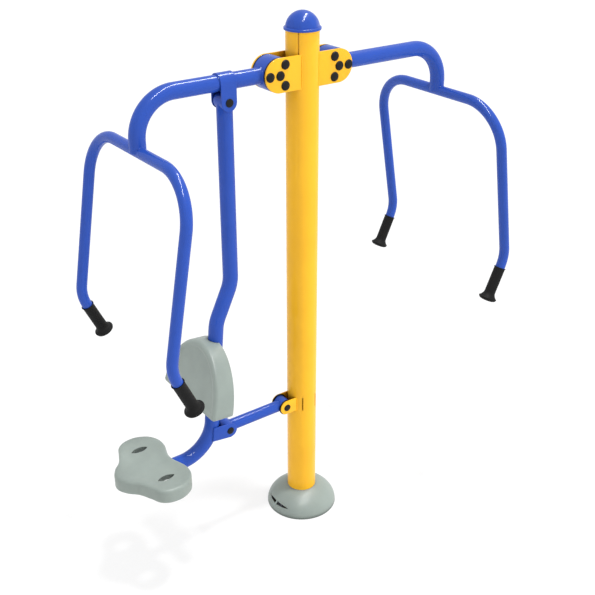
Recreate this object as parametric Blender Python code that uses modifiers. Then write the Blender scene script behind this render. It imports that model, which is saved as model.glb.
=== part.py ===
"""Accessible chest press station, in metres, +Z up.

The origin is on the post's axis at ground level. X runs along the two arms: the hanging seat is on the
-X side and the open wheelchair place on the +X side. The front is the -Y side. Pushing the left handles
away from the post swings the left arm up about its hub, and the arm lifts the seat carrier that hangs
from it, while a level link keeps the carrier's foot at its distance from the post.
"""
import bmesh
import bpy
from math import acos, cos, pi, radians, sin, tan
from mathutils import Matrix, Vector

# Clearances
GAP = 0.0003            # between pieces that touch
RUN = 0.0005            # between a pin and what turns round it
CUT = 0.010             # how far a cutter runs past what it cuts
SINK = 0.001            # how far joined shapes reach into each other
MERGE = 0.00001         # welds the loose caps of a curve
LOOSE = 0.002           # round the hanger tube where it enters a plastic shell

# Sides of round pieces
FINE_SIDES = 32
ROUND_SIDES = 24
TUBE_SIDES = 14
SMALL_SIDES = 8
HEX_SIDES = 6
BEND_STEPS = 6
EDGE_STEPS = 2

# Post and base
POST_OD = 0.127
POST_WALL = 0.005
POST_TOP = 2.149
BASE_OD = 0.276
BASE_THICK = 0.016
GUSSET_COUNT = 4
GUSSET_THICK = 0.008
GUSSET_ROOM = 0.028     # from the gussets' tops to the cover's height inside
GUSSET_SETBACK = 0.018  # from the base plate's edge
GUSSET_TOE = 0.008
ANCHOR_COUNT = 4
ANCHOR_SETBACK = 0.026  # of the anchors' centres from the base plate's edge
ANCHOR_R = 0.008
ANCHOR_NUT_R = 0.0139
ANCHOR_NUT_TALL = 0.013
ANCHOR_WASHER_R = 0.015
ANCHOR_WASHER_THICK = 0.003
ANCHOR_PROUD = 0.006
COVER_ROOM = 0.018      # how far the cover's rim stands out from the base plate
COVER_TALL = 0.103
COVER_WALL = 0.004
COVER_POINTS = 5
HAND_SLOT_WIDTH = 0.150
HAND_SLOT_TALL = 0.016
HAND_SLOT_Z = 0.040
HAND_SLOT_RIB = 0.008
HAND_SLOT_DEEP = 0.060

# Domed cap of the post
CAP_BEAD_OVER = 0.007   # past the post's surface
CAP_BEAD_TALL = 0.011
CAP_BEAD_EDGE = 0.0025
CAP_DOME_OVER = 0.0012
CAP_DOME_SEAT = 0.0041  # the dome's centre above the end of the post
CAP_WALL = 0.005
CAP_SPIGOT_TALL = 0.030
CAP_POINTS = 5

# Hubs: a drum that turns on an axle between two plates welded to the post
HUB_GAP = 0.008         # between the drum and the post
HUB_DROP = 0.142        # below the end of the post
HUB_CLEAR = 0.042       # half the clear width between the plates
HUB_PLATE_THICK = 0.008
STOP_COUNT = 3
STOP_SLEEVE_R = 0.008
HUB_BOLT_R = 0.006
AXLE_SLEEVE_R = 0.015
BEARING_WALL = 0.0125
DISC_THICK = 0.007
DISC_WIDTH = 0.009
DRUM_WALL = 0.006
WEB_THICK = 0.013
WEB_INSET = 0.002
WEB_INNER = 0.0082      # left between the bearing and the stop slots
WEB_OUTER = 0.0048      # left between the stop slots and the drum's wall
ARM_SWING = radians(25)
SLOT_STEPS = 3

# Arms and handle frames
ARM_OD = 0.0603
ARM_WALL = 0.004
ARM_BEND_R = 0.148
CROSSBAR_REACH = 0.698
CROSSBAR_DROP = 0.188   # below the hubs
FRAME_OD = 0.0424
FRAME_WALL = 0.003
FRAME_HALF = 0.361
FRAME_CORNER_R = 0.176
FRAME_LEAN = radians(10.1)
LEG_LENGTH = 0.676
ELBOW_R = 0.152
GRIP_SLANT = radians(24.9)

# Grips: how far each part stands out from the tube's surface, and its height
GRIP_CLEAR = 0.0041     # from the elbow's end to the lip
GRIP_LIP_OVER = 0.005
GRIP_LIP_TALL = 0.005
GRIP_OVER = 0.0024
GRIP_NECK_TALL = 0.115
GRIP_FLARE_OVER = 0.0078
GRIP_FLARE_TALL = 0.008
GRIP_FLANGE_OVER = 0.0188
GRIP_FLANGE_RISE = 0.010
GRIP_FLANGE_TALL = 0.004
GRIP_DOME_OVER = 0.0068
GRIP_DOME_TALL = 0.012
GRIP_TUBE_SHORT = 0.002     # the frame's tube ends that far above the flare

# Small pivots: a bolt through two plates, and a barrel with two flanged bushes between them
PIVOT_EASE = 0.00065    # between the hanger tube's sides and the plates
PIVOT_PLATE_THICK = 0.005
PIVOT_PLATE_R = 0.032
PIVOT_BOLT_R = 0.008
PIVOT_BARREL_R = 0.030
PIVOT_BARREL_WALL = 0.005
BUSH_FLANGE = 0.002
POST_BUSH_FLANGE = 0.0045    # at the post, where the flanges are as wide as the plates
BUSH_LONG = 0.022
OPEN_PIVOT_PLAY = 0.0022    # round the bolt where the link meets the seat carrier

# Black covers on both ends of each bolt
BOLT_CAP_EDGE = 0.0025
HUB_CAP_R = 0.0178
HUB_CAP_TALL = 0.008
PIVOT_CAP_R = 0.0155
PIVOT_CAP_TALL = 0.0045

# Hanging seat carrier
HANGER_X = -0.3453
HANGER_GAP = 0.00785    # between the barrel and the arm over it
HANGER_BEND_R = 0.152
HANGER_WALL = 0.004
KNEE_RISE = 0.1564      # of the slanting run between the two knees
KNEE_SHIFT = 0.0731     # how far that run goes away from the post
KNEE_OVER_MOUNT = 0.2036    # from the backrest's mounting plate to the lower knee
HANGER_RECLINE = radians(5.2)
HANGER_END = 0.060      # past the middle of the seat's mounting plate
PLUG_THICK = 0.004
PLUG_DEEP = 0.018
STRAP_WIDE = 0.065

# Lower link
BRACKET_GAP = 0.0095    # between the link's barrel and the post
LINK_RISE = 0.085       # over the hanger tube's foot
LINK_SHOULDER = 0.004   # how far each end of a barrel stands out past the link's tube
LINK_WALL = 0.003
EAR_GAP = 0.011         # between the link's barrel and the hanger tube
EAR_OVERLAP = 0.0108    # how far the ears reach past the hanger tube's axis
EAR_TILT = radians(7.5)
POST_SLIT_TALL = 0.066

# Seat
SEAT_REACH = 0.288      # from the corner of the hanger's foot to the mounting plate
SEAT_REAR = 0.1206      # from the mounting plate's middle back to the seat's rear
SEAT_LENGTH = 0.2656
SEAT_WIDTH = 0.4068
SEAT_TOP = 0.529
SEAT_TALL = 0.0585
SEAT_WALL = 0.006
SEAT_ROOM = 0.0125      # between the mounting plate and the seat's top wall
SEAT_EDGE_R = 0.011
SEAT_FOOT_R = 0.003
SEAT_HOLE_LONG = 0.074
SEAT_HOLE_WIDE = 0.030
SEAT_HOLE_SETBACK = 0.1036  # from the seat's rear
SEAT_HOLE_Y = 0.1125
SEAT_CURVE_STEPS = 2
# The outline of one half from the rear notch to the nose: along the length, across the half width
SEAT_OUTLINE_SHARES = (
    (0.086, 0.0), (0.0, 0.508), (0.049, 0.762), (0.198, 0.945), (0.421, 0.999),
    (0.604, 0.896), (0.699, 0.664), (0.792, 0.43), (0.931, 0.234), (1.0, 0.0),
)

# Backrest
BACK_HALF = 0.196
BACK_TALL = 0.2565
BACK_AHEAD = 0.122      # of the hanger tube's axis, at the foot
BACK_MOUNT_RISE = 0.105     # from the foot to the mounting plate's middle
BACK_RECLINE = radians(16.2)
BACK_THICK = 0.090      # square to its face
BACK_THINNING = 0.020   # how much thinner the top is than the foot
BACK_WALL = 0.007
BACK_EDGE_R = 0.013
BACK_REAR_R = 0.003
BACK_CORNER_R = 0.016
BACK_ARC_STEPS = 18

# Mounting plates of the plastic shells, with studs that reach into the shells' bosses
MOUNT_WIDE = 0.140
MOUNT_LONG = 0.110
MOUNT_THICK = 0.005
MOUNT_BACK_RISE = 0.331     # of the backrest's plate over the seat
STUD_SPREAD = 0.052
STUD_PITCH = 0.036
STUD_R = 0.004
STUD_LONG = 0.008
BOSS_R = 0.012

# Sizes that follow from the ones above
POST_R = POST_OD / 2
ARM_R = ARM_OD / 2
FRAME_R = FRAME_OD / 2
BASE_R = BASE_OD / 2
COVER_R = BASE_R + COVER_ROOM
GUSSET_HEIGHT = COVER_TALL - COVER_WALL - BASE_THICK - GUSSET_ROOM
CAP_BEAD_R = POST_R + CAP_BEAD_OVER
CAP_DOME_R = POST_R + CAP_DOME_OVER

BEARING_R = AXLE_SLEEVE_R + BEARING_WALL
STOP_CIRCLE = BEARING_R + WEB_INNER + RUN + STOP_SLEEVE_R
DRUM_R = STOP_CIRCLE + STOP_SLEEVE_R + RUN + WEB_OUTER + DRUM_WALL
DRUM_HALF = HUB_CLEAR - DISC_THICK - 2 * GAP
HUB_PLATE_FACE = HUB_CLEAR + HUB_PLATE_THICK
HUB_REACH = POST_R + HUB_GAP + DRUM_R
HUB_Z = POST_TOP - HUB_DROP
CROSSBAR_Z = HUB_Z - CROSSBAR_DROP
GRIP_START = ELBOW_R * tan((FRAME_LEAN + GRIP_SLANT) / 2) + GRIP_CLEAR
GRIP_TUBE_IN = GRIP_LIP_TALL + GRIP_NECK_TALL - GRIP_TUBE_SHORT

PIVOT_CLEAR = ARM_R + PIVOT_EASE    # half the clear width between the plates
PIVOT_PLATE_FACE = PIVOT_CLEAR + PIVOT_PLATE_THICK
PIVOT_BARREL_HALF = PIVOT_CLEAR - BUSH_FLANGE - 2 * GAP
POST_BARREL_HALF = PIVOT_CLEAR - POST_BUSH_FLANGE - 2 * GAP
HANGER_Z = HUB_Z - ARM_R - HANGER_GAP - PIVOT_BARREL_R
HANGER_FOOT_Z = SEAT_TOP - SEAT_WALL - SEAT_ROOM - MOUNT_THICK - GAP - ARM_R
MOUNT_BACK_Z = SEAT_TOP + MOUNT_BACK_RISE
BACK_FOOT_Z = MOUNT_BACK_Z - BACK_MOUNT_RISE
KNEE_LOW_X = HANGER_X - KNEE_SHIFT
KNEE_LOW_Z = MOUNT_BACK_Z + KNEE_OVER_MOUNT
KNEE_HIGH_Z = KNEE_LOW_Z + KNEE_RISE


def hanger_x_at(z):
    """Where the hanger's leaning run passes a height."""
    return KNEE_LOW_X - (KNEE_LOW_Z - z) * tan(HANGER_RECLINE)


MOUNT_SEAT_X = hanger_x_at(HANGER_FOOT_Z) - SEAT_REACH
SEAT_REAR_X = MOUNT_SEAT_X + SEAT_REAR
HANGER_END_X = MOUNT_SEAT_X - HANGER_END
LINK_R = PIVOT_BARREL_HALF - LINK_SHOULDER
LINK_Z = HANGER_FOOT_Z + LINK_RISE
LINK_POST_X = -POST_R - BRACKET_GAP - PIVOT_BARREL_R
EAR_REACH = ARM_R + EAR_GAP + PIVOT_BARREL_R
LINK_SEAT_X = hanger_x_at(LINK_Z) + EAR_REACH
SIDES = ((-1, "left"), (1, "right"))
FACES = ((-1, "front"), (1, "rear"))

# Directions
RIGHT = Vector((1.0, 0.0, 0.0))
BACK = Vector((0.0, 1.0, 0.0))
UP = Vector((0.0, 0.0, 1.0))
FLIPPED = Matrix.Rotation(pi, 4, "X")
SHARP_ANGLE = radians(35)

# Paint, plastic and metal: base colour, roughness, metallic
FINISHES = {
    "yellow_paint": ((1.0, 0.50, 0.03), 0.35, 0.0),
    "blue_paint": ((0.045, 0.10, 0.58), 0.35, 0.0),
    "grey_plastic": ((0.35, 0.42, 0.38), 0.55, 0.0),
    "black_plastic": ((0.025, 0.025, 0.025), 0.50, 0.0),
    "grip_rubber": ((0.032, 0.032, 0.032), 0.70, 0.0),
    "zinc_steel": ((0.55, 0.55, 0.56), 0.35, 1.0),
    "bearing_steel": ((0.60, 0.60, 0.62), 0.25, 1.0),
    "nylon": ((0.030, 0.030, 0.032), 0.60, 0.0),
}


def new_collection(name):
    collection = bpy.data.collections.new(name)
    bpy.context.scene.collection.children.link(collection)
    return collection


def new_material(name, colour, roughness, metallic):
    material = bpy.data.materials.new(name)
    material.use_nodes = True
    shader = material.node_tree.nodes["Principled BSDF"]
    shader.inputs["Base Color"].default_value = (*colour, 1.0)
    shader.inputs["Roughness"].default_value = roughness
    shader.inputs["Metallic"].default_value = metallic
    material.diffuse_color = (*colour, 1.0)
    return material


def frame_at(place, up, out):
    """A matrix at a place, whose local Y points up and whose local Z points out."""
    rows = Matrix((up.cross(out), up, out)).transposed().to_4x4()
    return Matrix.Translation(place) @ rows


def across_post(place):
    """A matrix at a place, whose local X and Y are the station's X and Z. Its local Z faces the front."""
    return frame_at(place, UP, -BACK)


def along_arms(place):
    """A matrix at a place, whose local X and Y are the station's Y and Z. Its local Z points right."""
    return frame_at(place, UP, RIGHT)


def bore_corner(radius, clearance, sides):
    """The corner radius of a bore whose flat sides clear a round piece."""
    return (radius + clearance) / cos(pi / sides)


def evaluated_mesh(obj):
    """The object's shape with its modifiers applied."""
    bpy.context.view_layer.update()
    graph = bpy.context.evaluated_depsgraph_get()
    return bpy.data.meshes.new_from_object(obj.evaluated_get(graph))


def closed_mesh(mesh):
    """Welds loose caps and points every face out."""
    bm = bmesh.new()
    bm.from_mesh(mesh)
    bmesh.ops.remove_doubles(bm, verts=bm.verts, dist=MERGE)
    bmesh.ops.recalc_face_normals(bm, faces=bm.faces)
    bm.to_mesh(mesh)
    bm.free()
    return mesh


def mesh_from_curve(curve):
    """The closed mesh of a curve, which is removed."""
    guide = bpy.data.objects.new(curve.name, curve)
    bpy.context.scene.collection.objects.link(guide)
    mesh = evaluated_mesh(guide)
    bpy.data.objects.remove(guide)
    bpy.data.curves.remove(curve)
    return closed_mesh(mesh)


def turned(profile, steps):
    """A turned shape about local Z. The profile of (radius, height) runs down the outer side, and is
    closed if it starts off the axis."""
    count = len(profile)
    edges = [(i, i + 1) for i in range(count - 1)]
    if profile[0][0] > 0:
        edges.append((count - 1, 0))
    mesh = bpy.data.meshes.new("turned")
    mesh.from_pydata([(r, 0.0, z) for r, z in profile], edges, [])
    guide = bpy.data.objects.new("turned", mesh)
    bpy.context.scene.collection.objects.link(guide)
    screw = guide.modifiers.new("Turn", "SCREW")
    screw.steps = steps
    screw.render_steps = steps
    screw.use_merge_vertices = True
    screw.merge_threshold = MERGE
    result = evaluated_mesh(guide)
    bpy.data.objects.remove(guide)
    bpy.data.meshes.remove(mesh)
    return closed_mesh(result)


def ring(outer, inner, half, steps):
    """A ring about local Z that reaches half each way."""
    return turned([(outer, half), (outer, -half), (inner, -half), (inner, half)], steps)


def cylinder(radius, length, sides):
    mesh = bpy.data.meshes.new("cylinder")
    bm = bmesh.new()
    bmesh.ops.create_cone(bm, cap_ends=True, segments=sides, radius1=radius, radius2=radius, depth=length)
    bm.to_mesh(mesh)
    bm.free()
    return mesh


def box(size):
    mesh = bpy.data.meshes.new("box")
    bm = bmesh.new()
    bmesh.ops.create_cube(bm, size=1.0)
    bmesh.ops.scale(bm, vec=size, verts=bm.verts)
    bm.to_mesh(mesh)
    bm.free()
    return mesh


def copies(mesh, places):
    """One mesh that holds a copy of the given one at each matrix."""
    bm = bmesh.new()
    for matrix in places:
        before = len(bm.verts)
        bm.from_mesh(mesh)
        bm.verts.ensure_lookup_table()
        bmesh.ops.transform(bm, matrix=matrix, verts=bm.verts[before:])
    result = bpy.data.meshes.new(mesh.name)
    bm.to_mesh(result)
    bm.free()
    return result


def circle(radius, sides, centre=(0.0, 0.0)):
    angles = [2 * pi * i / sides for i in range(sides)]
    return [(centre[0] + radius * cos(a), centre[1] + radius * sin(a)) for a in angles]


def arc(centre, radius, start, end, steps):
    angles = [start + (end - start) * i / steps for i in range(steps + 1)]
    return [(centre[0] + radius * cos(a), centre[1] + radius * sin(a)) for a in angles]


def tongue(radius, reach):
    """A plate's outline: round about the origin on the far side from reach, and straight to it."""
    side = 1 if reach > 0 else -1
    end = arc((0.0, 0.0), radius, pi / 2, 3 * pi / 2, TUBE_SIDES)
    return [(side * x, y) for x, y in end] + [(reach, -radius), (reach, radius)]


def flat(outlines, thickness, curve_steps=0):
    """A plate in the local XY plane. Outlines inside the first are holes. With curve_steps, a smooth
    curve joins each outline's points, with so many steps between two of them."""
    curve = bpy.data.curves.new("flat", "CURVE")
    curve.dimensions = "2D"
    curve.fill_mode = "BOTH"
    curve.extrude = thickness / 2
    for outline in outlines:
        spline = curve.splines.new("BEZIER" if curve_steps else "POLY")
        points = spline.bezier_points if curve_steps else spline.points
        points.add(len(outline) - 1)
        for point, (x, y) in zip(points, outline):
            if curve_steps:
                point.co = (x, y, 0.0)
                point.handle_left_type = "AUTO"
                point.handle_right_type = "AUTO"
            else:
                point.co = (x, y, 0.0, 1.0)
        if curve_steps:
            spline.resolution_u = curve_steps
        spline.use_cyclic_u = True
    return mesh_from_curve(curve)


def route(corners, radii):
    """Points of a bent tube's centre line: straight runs joined by arcs of the given radii."""
    corners = [Vector(corner) for corner in corners]
    points = [corners[0]]
    for before, corner, after, radius in zip(corners, corners[1:], corners[2:], radii):
        into = (corner - before).normalized()
        out = (after - corner).normalized()
        turn = acos(into.dot(out))
        start = corner - into * radius * tan(turn / 2)
        side = (out - into * into.dot(out)).normalized()
        for i in range(BEND_STEPS + 1):
            angle = turn * i / BEND_STEPS
            points.append(start + into * radius * sin(angle) + side * radius * (1 - cos(angle)))
    points.append(corners[-1])
    return points


def rod(points, radius, sides):
    """A round bar along the points."""
    curve = bpy.data.curves.new("rod", "CURVE")
    curve.dimensions = "3D"
    curve.bevel_depth = radius
    curve.bevel_resolution = (sides - 4) // 2
    curve.use_fill_caps = True
    spline = curve.splines.new("POLY")
    spline.points.add(len(points) - 1)
    for point, place in zip(spline.points, points):
        point.co = (*place, 1.0)
    return mesh_from_curve(curve)


def extended(points, extra):
    """The same centre line with both ends run on."""
    first = points[0] + (points[0] - points[1]).normalized() * extra
    last = points[-1] + (points[-1] - points[-2]).normalized() * extra
    return [first, *points, last]


def put(obj, frame, parent=None):
    """Places an object by a world matrix."""
    obj.parent = parent
    home = parent.location if parent else Vector()
    obj.location = frame.translation - home
    obj.rotation_euler = frame.to_euler()


def add(name, mesh, finish, frame=Matrix(), parent=None):
    """One piece of the station, placed by a world matrix."""
    obj = bpy.data.objects.new(name, mesh)
    parts.objects.link(obj)
    mesh.name = name
    mesh.materials.clear()
    mesh.materials.append(materials[finish])
    put(obj, frame, parent)
    return obj


def add_tool(name, mesh, frame=Matrix()):
    """A shape that only cuts or joins others."""
    obj = bpy.data.objects.new(name, mesh)
    cutters.objects.link(obj)
    put(obj, frame)
    obj.hide_render = True
    obj.display_type = "WIRE"
    return obj


def combine(obj, tool, operation):
    modifier = obj.modifiers.new(tool.name, "BOOLEAN")
    modifier.object = tool
    modifier.operation = operation
    modifier.solver = "EXACT"


def cut(obj, tool):
    combine(obj, tool, "DIFFERENCE")


def join(obj, tool):
    combine(obj, tool, "UNION")


def add_pivot(name, place):
    """An empty on a joint's axis, which carries the pieces that turn about it."""
    pivot = bpy.data.objects.new(name, None)
    parts.objects.link(pivot)
    pivot.empty_display_size = PIVOT_PLATE_R
    pivot.location = place
    return pivot


def round_tool(name, radius, half, place, sides):
    """A cylinder along Y that clears a round piece of the given radius."""
    return add_tool(name, cylinder(bore_corner(radius, GAP, sides), 2 * half, sides), across_post(place))


def hollow_tube(name, points, radius, wall, pivot):
    """A bent tube with open ends."""
    tube = add(name, rod(points, radius, TUBE_SIDES), "blue_paint", parent=pivot)
    cut(tube, add_tool(f"{name}_bore", rod(extended(points, CUT), radius - wall, SMALL_SIDES)))
    return tube


def capped_bolt(radius, face, cover, sleeve=None):
    """A bolt along local Z with a domed cover on each end, of a radius and a height. Its covers rest on
    faces that far from its middle, and a sleeve, if there is one, has its radius and the half width that
    it fits."""
    cap_r, cap_tall = cover
    low = face + GAP
    top = low + cap_tall
    half = [(0.0, top), (cap_r - BOLT_CAP_EDGE, top), (cap_r, top - BOLT_CAP_EDGE), (cap_r, low),
            (radius, low)]
    if sleeve:
        sleeve_r, room = sleeve
        half += [(radius, room - GAP), (sleeve_r, room - GAP)]
    return turned(half + [(r, -z) for r, z in half[::-1]], SMALL_SIDES)


def add_pivot_bolt(name, place, parent=None):
    bolt = capped_bolt(PIVOT_BOLT_R, PIVOT_PLATE_FACE, (PIVOT_CAP_R, PIVOT_CAP_TALL))
    add(name, bolt, "black_plastic", across_post(place), parent)


def add_bushes(name, place, play, pivot, barrel_half, flange_r):
    """Two flanged bushes in the ends of a small barrel along Y, whose flanges fill the room to the plates."""
    bore = bore_corner(PIVOT_BOLT_R, play, TUBE_SIDES)
    outer = PIVOT_BARREL_R - PIVOT_BARREL_WALL - GAP
    seat = barrel_half + GAP
    face = PIVOT_CLEAR - GAP
    profile = [(flange_r, face), (flange_r, seat), (outer, seat), (outer, seat - BUSH_LONG),
               (bore, seat - BUSH_LONG), (bore, face)]
    for face, face_name in FACES:
        frame = across_post(place) @ (Matrix() if face < 0 else FLIPPED)
        add(f"{name}_bush_{face_name}", turned(profile, TUBE_SIDES), "nylon", frame, pivot)


def bushed_bore():
    """The corner radius of a small barrel's bore."""
    return bore_corner(PIVOT_BARREL_R - PIVOT_BARREL_WALL, 0.0, TUBE_SIDES)


def turned_about_post(i, count):
    return Matrix.Rotation(2 * pi * i / count, 4, "Z")


def build_base():
    """The base plate with its welded gussets, the anchor bolts and the cover."""
    anchors = [turned_about_post(i, ANCHOR_COUNT) @ Vector((BASE_R - ANCHOR_SETBACK, 0.0, 0.0))
               for i in range(ANCHOR_COUNT)]
    hole = bore_corner(ANCHOR_R, GAP, SMALL_SIDES)
    outlines = [circle(BASE_R, FINE_SIDES)] + [circle(hole, SMALL_SIDES, place.xy) for place in anchors]
    plate = add("base_plate", flat(outlines, BASE_THICK), "zinc_steel",
                Matrix.Translation((0.0, 0.0, BASE_THICK / 2)))
    join(plate, gusset_tool())
    for i, place in enumerate(anchors):
        add(f"anchor_bolt_{i + 1}", anchor_mesh(), "zinc_steel", Matrix.Translation(place))
    build_cover()


def gusset_tool():
    """Triangular ribs round the post, halfway between the anchors, that sink into the base plate."""
    start = POST_R + GAP
    end = BASE_R - GUSSET_SETBACK
    outline = [(start, -SINK), (end, -SINK), (end, GUSSET_TOE), (start + GUSSET_TOE, GUSSET_HEIGHT),
               (start, GUSSET_HEIGHT)]
    places = [turned_about_post(i + 1 / 2, GUSSET_COUNT) @ across_post(Vector()) for i in range(GUSSET_COUNT)]
    ribs = copies(flat([outline], GUSSET_THICK), places)
    return add_tool("gussets", ribs, Matrix.Translation((0.0, 0.0, BASE_THICK)))


def anchor_mesh():
    """An anchor stud from the base plate's underside up, with its washer and nut."""
    seat = BASE_THICK + GAP
    washer_top = seat + ANCHOR_WASHER_THICK
    nut_top = washer_top + ANCHOR_NUT_TALL
    top = nut_top + ANCHOR_PROUD
    return turned([
        (0.0, top), (ANCHOR_R, top), (ANCHOR_R, nut_top), (ANCHOR_NUT_R, nut_top),
        (ANCHOR_NUT_R, washer_top), (ANCHOR_WASHER_R, washer_top), (ANCHOR_WASHER_R, seat),
        (ANCHOR_R, seat), (ANCHOR_R, 0.0), (0.0, 0.0),
    ], SMALL_SIDES)


def dome_profile(radius, tall, neck):
    """A quarter ellipse from the neck down to the rim."""
    start = acos(neck / radius)
    angles = [start * (1 - i / COVER_POINTS) for i in range(COVER_POINTS + 1)]
    return [(radius * cos(a), tall * sin(a)) for a in angles]


def build_cover():
    """The plastic dome over the base, with a lens-shaped hand slot that a rib divides."""
    neck = POST_R + GAP
    outer = dome_profile(COVER_R, COVER_TALL, neck)
    inner = dome_profile(COVER_R - COVER_WALL, COVER_TALL - COVER_WALL, neck)
    cover = add("base_cover", turned(outer + inner[::-1], FINE_SIDES), "grey_plastic")
    rib = HAND_SLOT_RIB / 2
    tall = HAND_SLOT_TALL / 2
    for side, name in FACES:
        wedge = [(side * rib, tall), (side * rib, -tall), (side * HAND_SLOT_WIDTH / 2, 0.0)]
        place = Vector((-COVER_R, 0.0, HAND_SLOT_Z))
        cut(cover, add_tool(f"hand_slot_{name}", flat([wedge], HAND_SLOT_DEEP), along_arms(place)))


def build_post():
    low = BASE_THICK + GAP
    inner = POST_R - POST_WALL
    profile = [(POST_R, POST_TOP), (POST_R, low), (inner, low), (inner, POST_TOP)]
    post = add("post_tube", turned(profile, FINE_SIDES), "yellow_paint")
    slit_x = PIVOT_CLEAR + PIVOT_PLATE_THICK / 2
    for side, name in SIDES:
        slit = box((PIVOT_PLATE_THICK, POST_R, POST_SLIT_TALL))
        cut(post, add_tool(f"post_slit_{name}", slit, Matrix.Translation((side * slit_x, -POST_R, LINK_Z))))
    build_post_cap()


def build_post_cap():
    """The domed cap: a bead over the post's end and a spigot inside the tube."""
    seat = POST_TOP + GAP
    bead_top = seat + CAP_BEAD_TALL
    centre = seat + CAP_DOME_SEAT
    outer_spigot = POST_R - POST_WALL - GAP
    inner_spigot = outer_spigot - CAP_WALL
    roof_r = CAP_DOME_R - CAP_WALL
    shares = [i / CAP_POINTS for i in range(CAP_POINTS + 1)]
    dome_end = acos((bead_top - centre) / CAP_DOME_R)
    roof_end = acos((seat - centre) / roof_r)
    dome = [(CAP_DOME_R * sin(dome_end * s), centre + CAP_DOME_R * cos(dome_end * s)) for s in shares]
    roof = [(roof_r * sin(roof_end * s), centre + roof_r * cos(roof_end * s)) for s in shares]
    profile = dome + [
        (CAP_BEAD_R - CAP_BEAD_EDGE, bead_top), (CAP_BEAD_R, bead_top - CAP_BEAD_EDGE),
        (CAP_BEAD_R, seat + CAP_BEAD_EDGE), (CAP_BEAD_R - CAP_BEAD_EDGE, seat), (outer_spigot, seat),
        (outer_spigot, seat - CAP_SPIGOT_TALL), (inner_spigot, seat - CAP_SPIGOT_TALL),
        (inner_spigot, seat - CAP_WALL),
    ] + roof[-2::-1]
    add("post_cap", turned(profile, ROUND_SIDES), "blue_paint")


def stop_angles(side):
    """Where the stops lie round the axle, from the X direction towards Z: one points away from the post."""
    outward = 0.0 if side > 0 else pi
    return [outward + side * 2 * pi * i / STOP_COUNT for i in range(STOP_COUNT)]


def build_hub_frame(side, name):
    """What the post holds at one hub: two plates, an axle, three stop bolts and two wear discs."""
    centre = Vector((side * HUB_REACH, 0.0, HUB_Z))
    stops = [(STOP_CIRCLE * cos(a), STOP_CIRCLE * sin(a)) for a in stop_angles(side)]
    drill = cylinder(bore_corner(HUB_BOLT_R, GAP, SMALL_SIDES), 2 * (HUB_PLATE_FACE + CUT), SMALL_SIDES)
    spots = [Matrix.Translation((x, z, 0.0)) for x, z in [(0.0, 0.0), *stops]]
    holes = add_tool(f"{name}_hub_holes", copies(drill, spots), across_post(centre))
    for face, face_name in FACES:
        plate_place = centre + BACK * face * (HUB_CLEAR + HUB_PLATE_THICK / 2)
        outline = tongue(DRUM_R, -side * HUB_REACH)
        plate = add(f"hub_plate_{name}_{face_name}", flat([outline], HUB_PLATE_THICK), "yellow_paint",
                    across_post(plate_place))
        cut(plate, post_cope)
        cut(plate, holes)
        disc = ring(DRUM_R, DRUM_R - DISC_WIDTH, DISC_THICK / 2, ROUND_SIDES)
        disc_place = centre + BACK * face * (HUB_CLEAR - GAP - DISC_THICK / 2)
        add(f"{name}_disc_{face_name}", disc, "black_plastic", across_post(disc_place))
    cover = (HUB_CAP_R, HUB_CAP_TALL)
    axle = capped_bolt(HUB_BOLT_R, HUB_PLATE_FACE, cover, (AXLE_SLEEVE_R, HUB_CLEAR))
    add(f"{name}_axle", axle, "black_plastic", across_post(centre))
    for i, (x, z) in enumerate(stops):
        bolt = capped_bolt(HUB_BOLT_R, HUB_PLATE_FACE, cover, (STOP_SLEEVE_R, HUB_CLEAR))
        add(f"{name}_stop_bolt_{i + 1}", bolt, "black_plastic", across_post(centre + Vector((x, 0.0, z))))


def arc_slot(radius, half_width, start, end):
    """A slot's outline along an arc about the origin, with round ends."""
    outer = arc((0.0, 0.0), radius + half_width, start, end, SLOT_STEPS)
    inner = arc((0.0, 0.0), radius - half_width, end, start, SLOT_STEPS)
    far = arc((radius * cos(end), radius * sin(end)), half_width, end, end + pi, SLOT_STEPS)
    near = arc((radius * cos(start), radius * sin(start)), half_width, start + pi, start + 2 * pi, SLOT_STEPS)
    return outer + far[1:-1] + inner + near[1:-1]


def build_drum(side, name, pivot):
    """What turns at one hub: a drum with two slotted webs, and the bearings in them."""
    inner = DRUM_R - DRUM_WALL
    bore = bore_corner(BEARING_R, GAP, ROUND_SIDES)
    web_out = DRUM_HALF - WEB_INSET
    web_in = web_out - WEB_THICK
    half = [(inner, web_in), (bore, web_in), (bore, web_out), (inner, web_out), (inner, DRUM_HALF),
            (DRUM_R, DRUM_HALF)]
    drum = add(f"{name}_drum", turned(half + [(r, -z) for r, z in half[::-1]], ROUND_SIDES), "blue_paint",
               across_post(pivot.location), pivot)
    slot_half = bore_corner(STOP_SLEEVE_R, RUN, 2 * SLOT_STEPS)
    slots = [arc_slot(STOP_CIRCLE, slot_half, *sorted((a, a - side * ARM_SWING))) for a in stop_angles(side)]
    cut(drum, add_tool(f"{name}_stop_slots", flat(slots, 2 * DRUM_HALF), across_post(pivot.location)))
    bearing = ring(BEARING_R, bore_corner(AXLE_SLEEVE_R, RUN, TUBE_SIDES), WEB_THICK / 2, TUBE_SIDES)
    for face, face_name in FACES:
        place = pivot.location + BACK * face * (web_out - WEB_THICK / 2)
        add(f"{name}_bearing_{face_name}", bearing.copy(), "bearing_steel", across_post(place), pivot)


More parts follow.
